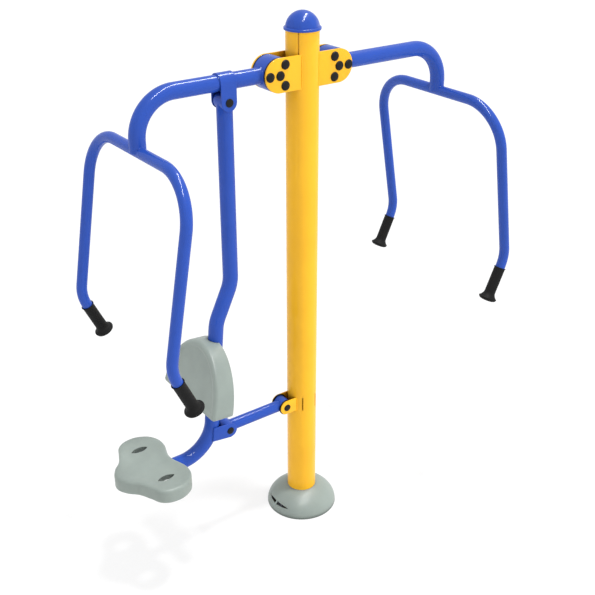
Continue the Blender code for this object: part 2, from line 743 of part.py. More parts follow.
def build_arm(side, name, pivot):
    """The bent arm tube between the drum and the crossbar of the handle frame."""
    crossbar = Vector((side * CROSSBAR_REACH, 0.0, CROSSBAR_Z))
    corner = Vector((crossbar.x, 0.0, HUB_Z))
    arm = hollow_tube(f"{name}_arm_tube", route([pivot.location, corner, crossbar], [ARM_BEND_R]),
                      ARM_R, ARM_WALL, pivot)
    cut(arm, round_tool(f"{name}_drum_cope", DRUM_R, HUB_CLEAR, pivot.location, ROUND_SIDES))
    cut(arm, round_tool(f"{name}_crossbar_cope", FRAME_R, ARM_R + CUT, crossbar, TUBE_SIDES))
    build_handle_frame(side, name, pivot, crossbar)


def build_handle_frame(side, name, pivot, crossbar):
    """One tube bent into two legs that lean out and two handles that slant back to the post."""
    down_leg = Vector((side * sin(FRAME_LEAN), 0.0, -cos(FRAME_LEAN)))
    down_grip = Vector((-side * sin(GRIP_SLANT), 0.0, -cos(GRIP_SLANT)))
    legs = []
    for face, face_name in FACES:
        top = crossbar + BACK * face * FRAME_HALF
        elbow = top + down_leg * LEG_LENGTH
        legs.append([top, elbow, elbow + down_grip * (GRIP_START + GRIP_TUBE_IN)])
        frame = frame_at(elbow + down_grip * GRIP_START, BACK, -down_grip)
        add(f"{name}_grip_{face_name}", grip_mesh(), "grip_rubber", frame, pivot)
    radii = [ELBOW_R, FRAME_CORNER_R, FRAME_CORNER_R, ELBOW_R]
    centre_line = route(legs[0][::-1] + legs[1], radii)
    hollow_tube(f"{name}_handle_frame", centre_line, FRAME_R, FRAME_WALL, pivot)


def grip_mesh():
    """A hand grip that hangs down local Z from its lip, over the tube's end, with a flange at its foot."""
    bore = bore_corner(FRAME_R, GAP, TUBE_SIDES)
    deep = GRIP_TUBE_IN + GAP
    profile = [(0.0, -deep), (bore, -deep), (bore, 0.0), (FRAME_R + GRIP_LIP_OVER, 0.0),
               (FRAME_R + GRIP_LIP_OVER, -GRIP_LIP_TALL)]
    depth = GRIP_LIP_TALL
    for over, tall in ((GRIP_OVER, 0.0), (GRIP_OVER, GRIP_NECK_TALL), (GRIP_FLARE_OVER, GRIP_FLARE_TALL),
                       (GRIP_FLANGE_OVER, GRIP_FLANGE_RISE), (GRIP_FLANGE_OVER, GRIP_FLANGE_TALL),
                       (GRIP_DOME_OVER, GRIP_DOME_TALL)):
        depth += tall
        profile.append((FRAME_R + over, -depth))
    return turned(profile + [(0.0, -depth)], TUBE_SIDES)


def build_strap(pivot):
    """The strap over the left arm, whose two legs carry the hanger's bolt below it."""
    place = Vector((HANGER_X, 0.0, HANGER_Z))
    top = HUB_Z - HANGER_Z
    outer = PIVOT_CLEAR + PIVOT_PLATE_THICK
    half = STRAP_WIDE / 2
    foot = -half - CUT
    arch = arc((0.0, top), outer, 0.0, pi, TUBE_SIDES) + [(-outer, foot), (-PIVOT_CLEAR, foot)]
    arch += arc((0.0, top), PIVOT_CLEAR, pi, 0.0, TUBE_SIDES) + [(PIVOT_CLEAR, foot), (outer, foot)]
    strap = add("hanger_strap", flat([arch], STRAP_WIDE + CUT), "blue_paint", along_arms(place), pivot)
    head = top + outer + CUT
    side_view = arc((0.0, 0.0), half, pi, 2 * pi, TUBE_SIDES) + [(half, head), (-half, head)]
    hole = circle(bore_corner(PIVOT_BOLT_R, GAP, SMALL_SIDES), SMALL_SIDES)
    trim = add_tool("strap_trim", flat([side_view, hole], 2 * (outer + CUT)), across_post(place))
    combine(strap, trim, "INTERSECT")
    add_pivot_bolt("hanger_bolt", place, pivot)


def hanger_route():
    """The hanger's centre line: straight down, a double bend away from the post, then under the seat."""
    corners = [(HANGER_X, 0.0, HANGER_Z), (HANGER_X, 0.0, KNEE_HIGH_Z), (KNEE_LOW_X, 0.0, KNEE_LOW_Z),
               (hanger_x_at(HANGER_FOOT_Z), 0.0, HANGER_FOOT_Z), (HANGER_END_X, 0.0, HANGER_FOOT_Z)]
    return route(corners, [HANGER_BEND_R] * 3)


def build_carrier(pivot):
    """The seat carrier: its barrel and tube, the ears of the lower link, the backrest and the seat."""
    top = pivot.location
    barrel = ring(PIVOT_BARREL_R, bushed_bore(), PIVOT_BARREL_HALF, TUBE_SIDES)
    add("hanger_barrel", barrel, "blue_paint", across_post(top), pivot)
    add_bushes("hanger", top, RUN, pivot, PIVOT_BARREL_HALF, PIVOT_BARREL_R)
    tube = hollow_tube("hanger_tube", hanger_route(), ARM_R, HANGER_WALL, pivot)
    cut(tube, round_tool("hanger_cope", PIVOT_BARREL_R, PIVOT_CLEAR, top, TUBE_SIDES))
    spigot = (ARM_R - HANGER_WALL) * cos(pi / SMALL_SIDES) - GAP
    plug = turned([(0.0, PLUG_THICK), (ARM_R, PLUG_THICK), (ARM_R, 0.0), (spigot, 0.0),
                   (spigot, -PLUG_DEEP), (0.0, -PLUG_DEEP)], TUBE_SIDES)
    end = Vector((HANGER_END_X - GAP, 0.0, HANGER_FOOT_Z))
    add("hanger_plug", plug, "black_plastic", frame_at(end, UP, -RIGHT), pivot)
    build_ears(pivot)
    build_backrest(pivot)
    build_seat(pivot)


def build_ears(pivot):
    """Two plates on the sides of the hanger tube that hold the lower link's bolt."""
    place = Vector((LINK_SEAT_X, 0.0, LINK_Z))
    hole = circle(bore_corner(PIVOT_BOLT_R, GAP, SMALL_SIDES), SMALL_SIDES)
    tilted_up = Vector((sin(EAR_TILT), 0.0, cos(EAR_TILT)))
    for face, name in FACES:
        middle = place + BACK * face * (PIVOT_CLEAR + PIVOT_PLATE_THICK / 2)
        ear = flat([tongue(PIVOT_PLATE_R, -EAR_REACH - EAR_OVERLAP), hole], PIVOT_PLATE_THICK)
        add(f"ear_{name}", ear, "blue_paint", frame_at(middle, tilted_up, -BACK), pivot)
    add_pivot_bolt("link_seat_bolt", place, pivot)


def at_studs(mesh, height):
    """A copy of a mesh at each of a mounting plate's four studs, its middle that far above the tube."""
    return copies(mesh, [Matrix.Translation((x, y, height)) for x in (-STUD_SPREAD, STUD_SPREAD)
                         for y in (-STUD_PITCH, STUD_PITCH)])


def mount_shell(name, shell, cavity, frame, pivot):
    """Fastens a plastic shell to the hanger tube: a plate with four studs, and bosses left in the cavity.

    The frame's origin is on the tube's surface. Its local X runs across the station and its local Z
    points at the shell."""
    top = GAP + MOUNT_THICK
    middle = frame @ Matrix.Translation((0.0, 0.0, GAP + MOUNT_THICK / 2))
    plate = add(f"{name}_mount", box((MOUNT_WIDE, MOUNT_LONG, MOUNT_THICK)), "blue_paint", middle, pivot)
    stud = cylinder(STUD_R, STUD_LONG + 2 * SINK, HEX_SIDES)
    join(plate, add_tool(f"{name}_studs", at_studs(stud, top + STUD_LONG / 2), frame))
    reach = BACK_THICK + SEAT_TALL
    boss = cylinder(BOSS_R, reach, SMALL_SIDES)
    cut(cavity, add_tool(f"{name}_bosses", at_studs(boss, top + GAP + reach / 2), frame))
    cut(shell, cavity)
    drill = cylinder(bore_corner(STUD_R, GAP, HEX_SIDES), STUD_LONG + 2 * (SINK + GAP), HEX_SIDES)
    cut(shell, add_tool(f"{name}_stud_holes", at_studs(drill, top + STUD_LONG / 2), frame))


def round_rims(mesh, top_r, foot_r):
    """Rounds the rims of a plate's upper and lower faces."""
    bm = bmesh.new()
    bm.from_mesh(mesh)
    bmesh.ops.dissolve_limit(bm, angle_limit=radians(1), verts=bm.verts, edges=bm.edges)
    for level, radius in ((1, top_r), (-1, foot_r)):
        rim = [edge for edge in bm.edges if all(level * vert.co.z > 0 for vert in edge.verts)
               and any(abs(face.normal.z) < 1 / 2 for face in edge.link_faces)]
        bmesh.ops.bevel(bm, geom=rim, offset=radius, segments=EDGE_STEPS, profile=1 / 2, affect="EDGES")
    bm.to_mesh(mesh)
    bm.free()
    return mesh


def back_outline(inset):
    """Half an ellipse over a straight foot with round corners, inset by a wall."""
    half = BACK_HALF - inset
    tall = BACK_TALL - inset
    corner = BACK_CORNER_R - inset
    low = inset + corner
    right = arc((half - corner, low), corner, -pi / 2, 0.0, EDGE_STEPS)
    start = low / tall
    angles = [start + (pi - 2 * start) * i / BACK_ARC_STEPS for i in range(1, BACK_ARC_STEPS)]
    crown = [(half * cos(a), tall * sin(a)) for a in angles]
    return right + crown + [(-x, y) for x, y in right[::-1]]


def leaned(mesh, depth):
    """Lifts a plate's rear, so that its walls run square to the hanger tube. Depth is from the middle of
    the plate to the backrest's face."""
    for vert in mesh.vertices:
        vert.co.y += (depth - vert.co.z) * tan(BACK_RECLINE - HANGER_RECLINE)
    return mesh


def build_backrest(pivot):
    """A D-shaped shell, open at its rear, that leans back and thins towards its top."""
    mesh = round_rims(flat([back_outline(0.0)], BACK_THICK), BACK_EDGE_R, BACK_REAR_R)
    for vert in mesh.vertices:
        if vert.co.z < 0:
            vert.co.z += BACK_THINNING * vert.co.y / BACK_TALL
    leaning_up = Vector((sin(BACK_RECLINE), 0.0, cos(BACK_RECLINE)))
    to_front = Vector((-cos(BACK_RECLINE), 0.0, sin(BACK_RECLINE)))
    foot = Vector((hanger_x_at(BACK_FOOT_Z) - BACK_AHEAD, 0.0, BACK_FOOT_Z))
    face = frame_at(foot, leaning_up, to_front)
    depth = BACK_THICK / 2
    shell = add("backrest", leaned(mesh, depth), "grey_plastic",
                face @ Matrix.Translation((0.0, 0.0, -depth)), pivot)
    depth += BACK_WALL
    inside = leaned(flat([back_outline(BACK_WALL)], BACK_THICK), depth)
    cavity = add_tool("backrest_cavity", inside, face @ Matrix.Translation((0.0, 0.0, -depth)))
    middle = Vector((hanger_x_at(MOUNT_BACK_Z), 0.0, MOUNT_BACK_Z))
    tube_up = Vector((sin(HANGER_RECLINE), 0.0, cos(HANGER_RECLINE)))
    tube_front = Vector((-cos(HANGER_RECLINE), 0.0, sin(HANGER_RECLINE)))
    mount_shell("back", shell, cavity, frame_at(middle + tube_front * ARM_R, tube_up, tube_front), pivot)
    channel = cylinder(ARM_R + LOOSE, 2 * BACK_TALL, TUBE_SIDES)
    cut(shell, add_tool("backrest_channel", channel, frame_at(middle, BACK, tube_up)))


def seat_outline(inset):
    """The three-lobed outline about the seat's middle, nose towards -X."""
    long = SEAT_LENGTH - 2 * inset
    half = SEAT_WIDTH / 2 - inset
    near = [(long * (1 / 2 - along), half * across) for along, across in SEAT_OUTLINE_SHARES]
    return near + [(x, -y) for x, y in near[-2:0:-1]]


def build_seat(pivot):
    """A moulded seat shell, open below, with two drain holes and a notch for the hanger."""
    middle = Vector((SEAT_REAR_X - SEAT_LENGTH / 2, 0.0, SEAT_TOP - SEAT_TALL / 2))
    outside = flat([seat_outline(0.0)], SEAT_TALL, SEAT_CURVE_STEPS)
    shell = add("seat", round_rims(outside, SEAT_EDGE_R, SEAT_FOOT_R), "grey_plastic",
                Matrix.Translation(middle), pivot)
    inside = flat([seat_outline(SEAT_WALL)], SEAT_TALL, SEAT_CURVE_STEPS)
    cavity = add_tool("seat_cavity", inside, Matrix.Translation(middle - UP * SEAT_WALL))
    on_tube = Vector((MOUNT_SEAT_X, 0.0, HANGER_FOOT_Z + ARM_R))
    mount_shell("seat", shell, cavity, frame_at(on_tube, RIGHT, UP), pivot)
    channel = cylinder(ARM_R + LOOSE, SEAT_LENGTH, TUBE_SIDES)
    notch = Vector((SEAT_REAR_X, 0.0, HANGER_FOOT_Z))
    cut(shell, add_tool("seat_channel", channel, frame_at(notch, UP, RIGHT)))
    oval = Matrix.Diagonal((SEAT_HOLE_LONG / 2, SEAT_HOLE_WIDE / 2, 1.0, 1.0))
    for side, name in FACES:
        hole = copies(cylinder(1.0, SEAT_TALL, TUBE_SIDES), [oval])
        place = Vector((SEAT_REAR_X - SEAT_HOLE_SETBACK, side * SEAT_HOLE_Y, SEAT_TOP))
        cut(shell, add_tool(f"seat_hole_{name}", hole, Matrix.Translation(place)))


def build_link(pivot):
    """The level link between the post's bracket and the seat carrier's ears: a tube with two barrels."""
    near_post = pivot.location
    near_seat = Vector((LINK_SEAT_X, 0.0, LINK_Z))
    ends = [near_post, near_seat]
    halves = [POST_BARREL_HALF, PIVOT_BARREL_HALF]
    link = add("lower_link", rod(ends, LINK_R, TUBE_SIDES), "blue_paint", parent=pivot)
    inner = cylinder(bushed_bore(), 2 * (PIVOT_BARREL_HALF + CUT), TUBE_SIDES)
    for end, half in zip(ends, halves):
        join(link, add_tool("link_barrel", cylinder(PIVOT_BARREL_R, 2 * half, TUBE_SIDES), across_post(end)))
    cut(link, add_tool("link_barrel_bores", copies(inner, [across_post(end) for end in ends])))
    cut(link, add_tool("link_tube_bore", rod(ends, LINK_R - LINK_WALL, SMALL_SIDES)))
    add_bushes("link_post", near_post, RUN, pivot, POST_BARREL_HALF, PIVOT_PLATE_R)
    add_bushes("link_seat", near_seat, OPEN_PIVOT_PLAY, pivot, PIVOT_BARREL_HALF, PIVOT_BARREL_R)


def build_link_bracket():
    """Two plates on the post that hold the lower link's other bolt."""
    place = Vector((LINK_POST_X, 0.0, LINK_Z))
    hole = circle(bore_corner(PIVOT_BOLT_R, GAP, SMALL_SIDES), SMALL_SIDES)
    for face, name in FACES:
        middle = place + BACK * face * (PIVOT_CLEAR + PIVOT_PLATE_THICK / 2)
        plate = flat([tongue(PIVOT_PLATE_R, -LINK_POST_X), hole], PIVOT_PLATE_THICK)
        cut(add(f"link_plate_{name}", plate, "yellow_paint", across_post(middle)), post_cope)
    add_pivot_bolt("link_post_bolt", place)


def settle(obj):
    """Applies the modifiers and shades the round faces smooth."""
    mesh = evaluated_mesh(obj)
    obj.modifiers.clear()
    obj.data = mesh
    mesh.name = obj.name
    mesh.shade_smooth()
    mesh.set_sharp_from_angle(angle=SHARP_ANGLE)


for startup_object in list(bpy.data.objects):
    bpy.data.objects.remove(startup_object)
parts = new_collection("chest_press_station")
cutters = new_collection("cutters")
materials = {name: new_material(name, *look) for name, look in FINISHES.items()}
post_cope = add_tool("post_cope", cylinder(bore_corner(POST_R, GAP, FINE_SIDES), 2 * POST_TOP, FINE_SIDES))

arms = {name: add_pivot(f"{name}_arm_pivot", (side * HUB_REACH, 0.0, HUB_Z)) for side, name in SIDES}
carrier = add_pivot("seat_carrier_pivot", (HANGER_X, 0.0, HANGER_Z))
link_pivot = add_pivot("lower_link_pivot", (LINK_POST_X, 0.0, LINK_Z))

build_base()
build_post()
for side, name in SIDES:
    build_hub_frame(side, name)
    build_drum(side, name, arms[name])
    build_arm(side, name, arms[name])
build_link_bracket()
build_strap(arms["left"])
build_carrier(carrier)
build_link(link_pivot)

for piece in [obj for obj in parts.objects if obj.type == "MESH"]:
    settle(piece)
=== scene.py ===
"""The finished accessible chest press station over its CAD frame, in metres, +Z up.

The origin is on the post's axis at ground level. The hanging seat is on the -X side, the open wheelchair
place on the +X side, and the front is the -Y side.
"""
import bmesh
import bpy
from math import acos, asin, cos, pi, radians, sin, sqrt, tan
from mathutils import Matrix, Vector


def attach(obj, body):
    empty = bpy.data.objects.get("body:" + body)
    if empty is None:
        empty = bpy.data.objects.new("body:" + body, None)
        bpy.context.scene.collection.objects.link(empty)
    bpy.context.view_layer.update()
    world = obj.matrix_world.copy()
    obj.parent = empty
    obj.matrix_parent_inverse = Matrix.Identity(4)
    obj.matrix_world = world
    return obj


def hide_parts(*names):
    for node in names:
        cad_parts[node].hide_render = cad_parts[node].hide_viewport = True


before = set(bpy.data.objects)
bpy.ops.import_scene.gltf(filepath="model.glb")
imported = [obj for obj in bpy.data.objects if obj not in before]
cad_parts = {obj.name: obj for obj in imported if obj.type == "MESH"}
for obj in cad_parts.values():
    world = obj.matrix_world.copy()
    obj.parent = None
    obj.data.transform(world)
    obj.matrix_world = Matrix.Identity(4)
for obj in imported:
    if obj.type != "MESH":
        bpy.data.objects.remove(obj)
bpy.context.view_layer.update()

# Fineness
SIDES = 96
POST_SIDES = 128
DOME_SIDES = 144
TUBE_SIDES = 64
SMALL_SIDES = 48
STUD_SIDES = 24
BEAD_SIDES = 8
BEND_STEPS = 32
EDGE_STEPS = 5
DOME_STEPS = 40
COVER_STEPS = 28
ARC_STEPS = 12
OVAL_STEPS = 96
LENS_STEPS = 24
OUTLINE_STEPS = 14
STRAP_STEPS = 16
STRAP_LEG_STEPS = 6
STRAP_WELD_STEPS = 60
ROLL_STEPS = 8
BACK_ROLL_STEPS = 6
FOOT_STEPS = 4
WELD_POINTS = 120
SHARP_ANGLE = radians(38)
GAP = 0.0003
RUN = 0.0005
MERGE = 1e-7
FACING = 0.99

# Post, cap and base
POST_R = 0.0635
POST_WALL = 0.005
POST_TOP = 2.149
SEAM_TURN = radians(-139)
SEAM_WIDE = 0.0045
SEAM_DEEP = 0.0038
POST_EDGE = 0.0006
SLIT_EDGE = 0.0012
BASE_THICK = 0.016
COVER_R = 0.156
COVER_TALL = 0.103
COVER_WALL = 0.004
HAND_SLOT_WIDTH = 0.150
HAND_SLOT_TALL = 0.016
HAND_SLOT_Z = 0.040
HAND_SLOT_RIB = 0.008
HAND_SLOT_DEEP = 0.060
CAP_BEAD_R = 0.0705
CAP_BEAD_TALL = 0.011
CAP_BEAD_LOW_EDGE = 0.003
CAP_BEAD_TOP_EDGE = 0.0045
CAP_DOME_R = 0.0647
CAP_DOME_SEAT = 0.0041
CAP_SPIGOT_TALL = 0.030
CAP_SPIGOT_WALL = 0.005
CAP_SPIGOT_EDGE = 0.001
FACET_COUNT = 6
FACET_START = radians(7)
FACET_TILT = radians(16.5)
FACET_SPAN = radians(18.5)

# Hubs
HUB_REACH = 0.135
HUB_Z = 2.007
DRUM_R = 0.0635
DRUM_WALL = 0.006
DRUM_HALF = 0.0344
DRUM_EDGE = 0.0008
WEB_OUT = 0.0324
WEB_IN = 0.0194
BEARING_R = 0.0275
HUB_CLEAR = 0.042
HUB_PLATE_THICK = 0.008
HUB_PLATE_FACE = 0.050
DISC_THICK = 0.007
DISC_WIDTH = 0.009
STOP_CIRCLE = 0.0442
STOP_COUNT = 3
STOP_SLEEVE_R = 0.008
AXLE_SLEEVE_R = 0.015
HUB_BOLT = (0.006, HUB_PLATE_FACE, 0.0178, 0.008)
ARM_SWING = radians(25)

# Arms, handle frames and grips
ARM_R = 0.03015
ARM_WALL = 0.004
ARM_BEND_R = 0.148
CROSSBAR_REACH = 0.698
CROSSBAR_Z = 1.819
FRAME_R = 0.0212
FRAME_WALL = 0.003
FRAME_HALF = 0.361
FRAME_CORNER_R = 0.176
FRAME_LEAN = radians(10.1)
LEG_LENGTH = 0.676
ELBOW_R = 0.152
GRIP_SLANT = radians(24.9)
GRIP_START = ELBOW_R * tan((FRAME_LEAN + GRIP_SLANT) / 2) + 0.0041
GRIP_TUBE_IN = 0.118
GRIP_OVER = 0.0024
GRIP_LIP_OVER = 0.005
GRIP_NECK_END = 0.111
GRIP_TRUMPET = 2.4
GRIP_FLANGE_TOP = 0.139
GRIP_FLANGE_OVER = 0.0178
GRIP_RIM_END = 0.142
GRIP_END = 0.154
GRIP_RIDGES = 2
GRIP_RIDGE_DEEP = 0.0016
GRIP_RIDGE_START = 0.72
GRIP_TRUMPET_STEPS = 40
GRIP_DOME_STEPS = 28
GRIP_DOME_POWER = 0.6
GRIP_MOUTH = 0.0004
GRIP_LIP = ((0.0012, 0.0), (GRIP_LIP_OVER - 0.0012, 0.0), (GRIP_LIP_OVER - 0.0003, -0.0004),
            (GRIP_LIP_OVER, -0.0012), (GRIP_LIP_OVER - 0.0005, -0.0022), (GRIP_OVER + 0.0008, -0.0032),
            (GRIP_OVER + 0.0002, -0.0045), (GRIP_OVER, -0.006))

# Small pivots
PIVOT_CLEAR = 0.0308
PIVOT_PLATE_THICK = 0.005
PIVOT_PLATE_FACE = 0.0358
PIVOT_PLATE_MIDDLE = PIVOT_CLEAR + PIVOT_PLATE_THICK / 2
PIVOT_PLATE_R = 0.032
PIVOT_BOLT_R = 0.008
PIVOT_BARREL_R = 0.030
PIVOT_BARREL_WALL = 0.005
BARREL_EDGE = 0.0012
PIVOT_BARREL_HALF = 0.0282
POST_BARREL_HALF = 0.0257
POST_FLANGE_OVER = 0.003
BUSH_LONG = 0.022
BUSH_EDGE = 0.0008
FLANGE_EDGE = 0.0005
OPEN_PIVOT_PLAY = 0.0022
BOLT_CAP_FOOT = 0.0015
PIVOT_BOLT = (PIVOT_BOLT_R, PIVOT_PLATE_FACE, 0.0155, 0.0045)

# Seat carrier and link
HANGER_X = -0.3453
HANGER_Z = 1.939
HANGER_BEND_R = 0.152
HANGER_RECLINE = radians(5.2)
HANGER_FOOT_Z = 0.47505
HANGER_END_X = -0.820
KNEE_LOW_X = -0.4184
KNEE_LOW_Z = 1.0636
KNEE_HIGH_Z = 1.220
PLUG_THICK = 0.004
PLUG_DEEP = 0.018
PLUG_EDGE = 0.0022
PLUG_END_EDGE = 0.002
STRAP_WIDE = 0.065
STRAP_EDGE = 0.0012
STRAP_END = 0.00005
STRAP_WELD_OUT = 0.0008
STRAP_WELD_BESIDE = 0.0005
LINK_POST_X = -0.103
LINK_SEAT_X = -0.39308
LINK_Z = 0.56005
LINK_R = 0.0242
LINK_WALL = 0.003
EAR_REACH = 0.07115
EAR_OVERLAP = 0.0108
EAR_TILT = radians(7.5)
POST_SLIT_TALL = 0.066

# Seat and backrest
MOUNT_SEAT_X = -0.760
SEAT_REAR_X = -0.6394
SEAT_LENGTH = 0.2656
SEAT_WIDTH = 0.4068
SEAT_TOP = 0.529
SEAT_TALL = 0.0585
SEAT_WALL = 0.006
SEAT_EDGE_R = 0.011
SEAT_FOOT_R = 0.003
SHELL_FOOT_EDGE = 0.001
SEAT_INNER_EDGE = 0.002
SEAT_HOLE_LONG = 0.074
SEAT_HOLE_WIDE = 0.030
SEAT_HOLE_SETBACK = 0.1036
SEAT_HOLE_Y = 0.1125
SEAT_OUTLINE_SHARES = (
    (0.086, 0.0), (0.0, 0.508), (0.049, 0.762), (0.198, 0.945), (0.421, 0.999),
    (0.604, 0.896), (0.699, 0.664), (0.792, 0.43), (0.931, 0.234), (1.0, 0.0),
)
SEAT_DISH = 0.005
SEAT_DISH_RINGS = 9
SEAT_RING_SHARE = 0.09
SEAT_DISH_SHARE = 0.42
SEAT_LENS_POWER = 2.4
SEAT_SLEEVE_WALL = 0.004
SEAT_SLEEVE_DEEP = 0.020
SEAT_SLEEVE_EDGE = 0.0008
MOUNT_BACK_Z = 0.860
BACK_FOOT_Z = 0.755
BACK_HALF = 0.196
BACK_TALL = 0.2565
BACK_AHEAD = 0.122
BACK_RECLINE = radians(16.2)
BACK_THICK = 0.090
BACK_THINNING = 0.020
BACK_WALL = 0.007
BACK_EDGE_R = 0.013
BACK_REAR_R = 0.003
BACK_CORNER_R = 0.016
BACK_LEAST_R = 0.002
BACK_INNER_EDGE = 0.003
BACK_DISH = 0.003
BACK_DISH_IN = 0.040
BACK_SLOPE_IN = 0.030
BACK_SLOPE_OUT = 0.018
MOUNT_WIDE = 0.140
MOUNT_LONG = 0.110
MOUNT_THICK = 0.005
MOUNT_CORNER_R = 0.010
STUD_SPREAD = 0.052
STUD_PITCH = 0.036
STUD_R = 0.004
STUD_LONG = 0.008
STUD_ROOT = 0.001
BOSS_R = 0.012
LOOSE = 0.002

# Weld beads and edges
WELD_R = 0.0026
TUBE_WELD_R = 0.0022
THIN_WELD_R = 0.0018
WELD_PITCH = 0.0032
WELD_STEP = 0.0008
WELD_LIFT = 0.0001
WELD_RIPPLE_SHARE = 0.13
WELD_TIP_SHARE = 0.35
HUB_WELD_SHORT = 0.004
PLATE_WELD_SHORT = 0.002
MOUNT_WELD_SHORT = 0.006
MOUNT_WELD_SPREAD = 0.010
PLATE_EDGE = 0.0009
SMALL_EDGE = 0.0004
HAND_SLOT_EDGE = 0.0002
CUT_EDGE = 0.0001
BEVEL_SEGMENTS = 3

# Studio
AMBIENT = 0.87
SUN_AWAY = 5
FLOOR_R = 60.0
FLOOR_DROP = 0.0002
FLOOR_SHADE = (0.75, 0.75, 0.75)
FLOOR_WHITE = (0.95, 0.95, 0.95)
FLOOR_GLOW_SHARE = 0.70
CAMERA_LENS = 57.54
CAMERA_SENSOR = 36.0
CAMERA_FAR = 100.0
CAMERA_PLACE = (-2.0961, -2.8486, 2.8542)
CAMERA_TARGET = (-0.0224, 0.0, 1.0564)

SIDE_NAMES = ((-1, "left"), (1, "right"))
FACE_NAMES = ((-1, "front"), (1, "rear"))
RIGHT = Vector((1.0, 0.0, 0.0))
BACK = Vector((0.0, 1.0, 0.0))
UP = Vector((0.0, 0.0, 1.0))
FLIPPED = Matrix.Rotation(pi, 4, "X")


def frame_at(place, up, out):
    """A matrix at a place, whose local Y points up and whose local Z points out."""
    rows = Matrix((up.cross(out), up, out)).transposed().to_4x4()
    return Matrix.Translation(place) @ rows


def across_post(place):
    """A matrix at a place, whose local X and Y are the station's X and Z. Its local Z faces the front."""
    return frame_at(place, UP, -BACK)


def hanger_x_at(z):
    """Where the hanger's leaning run passes a height."""
    return KNEE_LOW_X - (KNEE_LOW_Z - z) * tan(HANGER_RECLINE)


# Shapes


def mesh_of(bm):
    """A mesh of a bmesh, which is freed."""
    mesh = bpy.data.meshes.new("shape")
    bm.to_mesh(mesh)
    bm.free()
    return mesh


def moved(mesh, matrix):
    mesh.transform(matrix)
    return mesh


def loft(rings, loop=False):
    """A skin over rings of equally many points. A loop joins the last ring to the first, and otherwise both
    ends are capped."""
    bm = bmesh.new()
    rows = [[bm.verts.new(place) for place in ring] for ring in rings]
    count = len(rows[0])
    for near, far in list(zip(rows, rows[1:])) + ([(rows[-1], rows[0])] if loop else []):
        for i in range(count):
            j = (i + 1) % count
            bm.faces.new((near[i], near[j], far[j], far[i]))
    if not loop:
        bm.faces.new(rows[0])
        bm.faces.new(rows[-1])
    bmesh.ops.remove_doubles(bm, verts=bm.verts, dist=MERGE)
    bmesh.ops.recalc_face_normals(bm, faces=bm.faces)
    return mesh_of(bm)


def spread(start, end, steps):
    """Even steps from start to end, with both of them."""
    return [start + (end - start) * i / steps for i in range(steps + 1)]


def full_turn(steps):
    """Even angles round a circle."""
    return [2 * pi * i / steps for i in range(steps)]


def lathe(profile, sides=SIDES):
    """A turned shape about local Z from a profile of (radius, height), closed if it starts off the axis."""
    rings = [[(r * cos(a), r * sin(a), z) for a in full_turn(sides)] for r, z in profile]
    return loft(rings, loop=profile[0][0] > 0)


def corner_arc(before, corner, after, radius, steps):
    """Points of the arc that rounds a corner between two straight runs."""
    into = (corner - before).normalized()
    out = (after - corner).normalized()
    turn = acos(max(-1.0, min(1.0, into.dot(out))))
    side = (out - into * into.dot(out)).normalized()
    start = corner - into * radius * tan(turn / 2)
    return [start + into * radius * sin(a) + side * radius * (1 - cos(a)) for a in spread(0.0, turn, steps)]


def fillet(points, radii):
    """The same outline with its corners rounded by the given radii."""
    points = [Vector(point) for point in points]
    result = []
    for before, corner, after, radius in zip(points[-1:] + points, points, points[1:] + points[:1], radii):
        run = corner_arc(before, corner, after, radius, EDGE_STEPS) if radius else [corner]
        result += [tuple(p) for p in run]
    return result


def even(points, radius):
    """Rounds every corner by the same radius."""
    return fillet(points, [radius] * len(points))


def mirrored(half):
    """A profile of (radius, height) continued by its mirror image below."""
    return half + [(r, -z) for r, z in half[::-1]]


def arc(centre, radius, start, end, steps=ARC_STEPS):
    x, y = centre
    return [(x + radius * cos(a), y + radius * sin(a)) for a in spread(start, end, steps)]


def route(corners, radii):
    """Points of a bent tube's centre line: straight runs joined by arcs of the given radii."""
    corners = [Vector(corner) for corner in corners]
    points = [corners[0]]
    for before, corner, after, radius in zip(corners, corners[1:], corners[2:], radii):
        points += corner_arc(before, corner, after, radius, BEND_STEPS)
    return points + corners[-1:]


def tangents_of(points, closed=False):
    count = len(points)
    result = []
    for i in range(count):
        before = points[i - 1] if closed or i else points[0]
        after = points[(i + 1) % count] if closed or i < count - 1 else points[-1]
        result.append((after - before).normalized())
    return result


def offsets_along(tangents, sides):
    """For each tangent of a line, directions round it that don't twist along the line."""
    normal = tangents[0].orthogonal().normalized()
    rows = []
    for before, tangent in zip([tangents[0], *tangents], tangents):
        normal = before.rotation_difference(tangent) @ normal
        normal = (normal - tangent * normal.dot(tangent)).normalized()
        across = tangent.cross(normal)
        rows.append([normal * cos(a) + across * sin(a) for a in full_turn(sides)])
    return rows


def flush(offset):
    """The end of a tube that is cut square."""
    return 0.0


def saddle(radius, across):
    """The end of a tube that meets a crossing round piece, whose axis lies at the tube's last point."""
    def shift(offset):
        return -sqrt(max(0.0, radius ** 2 - offset.dot(across) ** 2))
    return shift


def tube(points, radius, wall, start=flush, end=flush):
    """A hollow tube along the points. Start and end give how far each end runs on at an offset."""
    tangents = tangents_of(points)
    rows = offsets_along(tangents, TUBE_SIDES)
    layers = []
    for reach in (radius, radius - wall):
        offsets = [[direction * reach for direction in row] for row in rows]
        rings = [[place + offset for offset in ring] for place, ring in zip(points, offsets)]
        rings[0] = [points[0] + offset - tangents[0] * start(offset) for offset in offsets[0]]
        rings[-1] = [points[-1] + offset + tangents[-1] * end(offset) for offset in offsets[-1]]
        layers.append(rings)
    return loft(layers[0] + layers[1][::-1], loop=True)


def resampled(points):
    """Points at a weld's step along the line."""
    result = [points[0]]
    for near, far in zip(points, points[1:]):
        count = max(1, round((far - near).length / WELD_STEP))
        result += [near.lerp(far, (i + 1) / count) for i in range(count)]
    return result


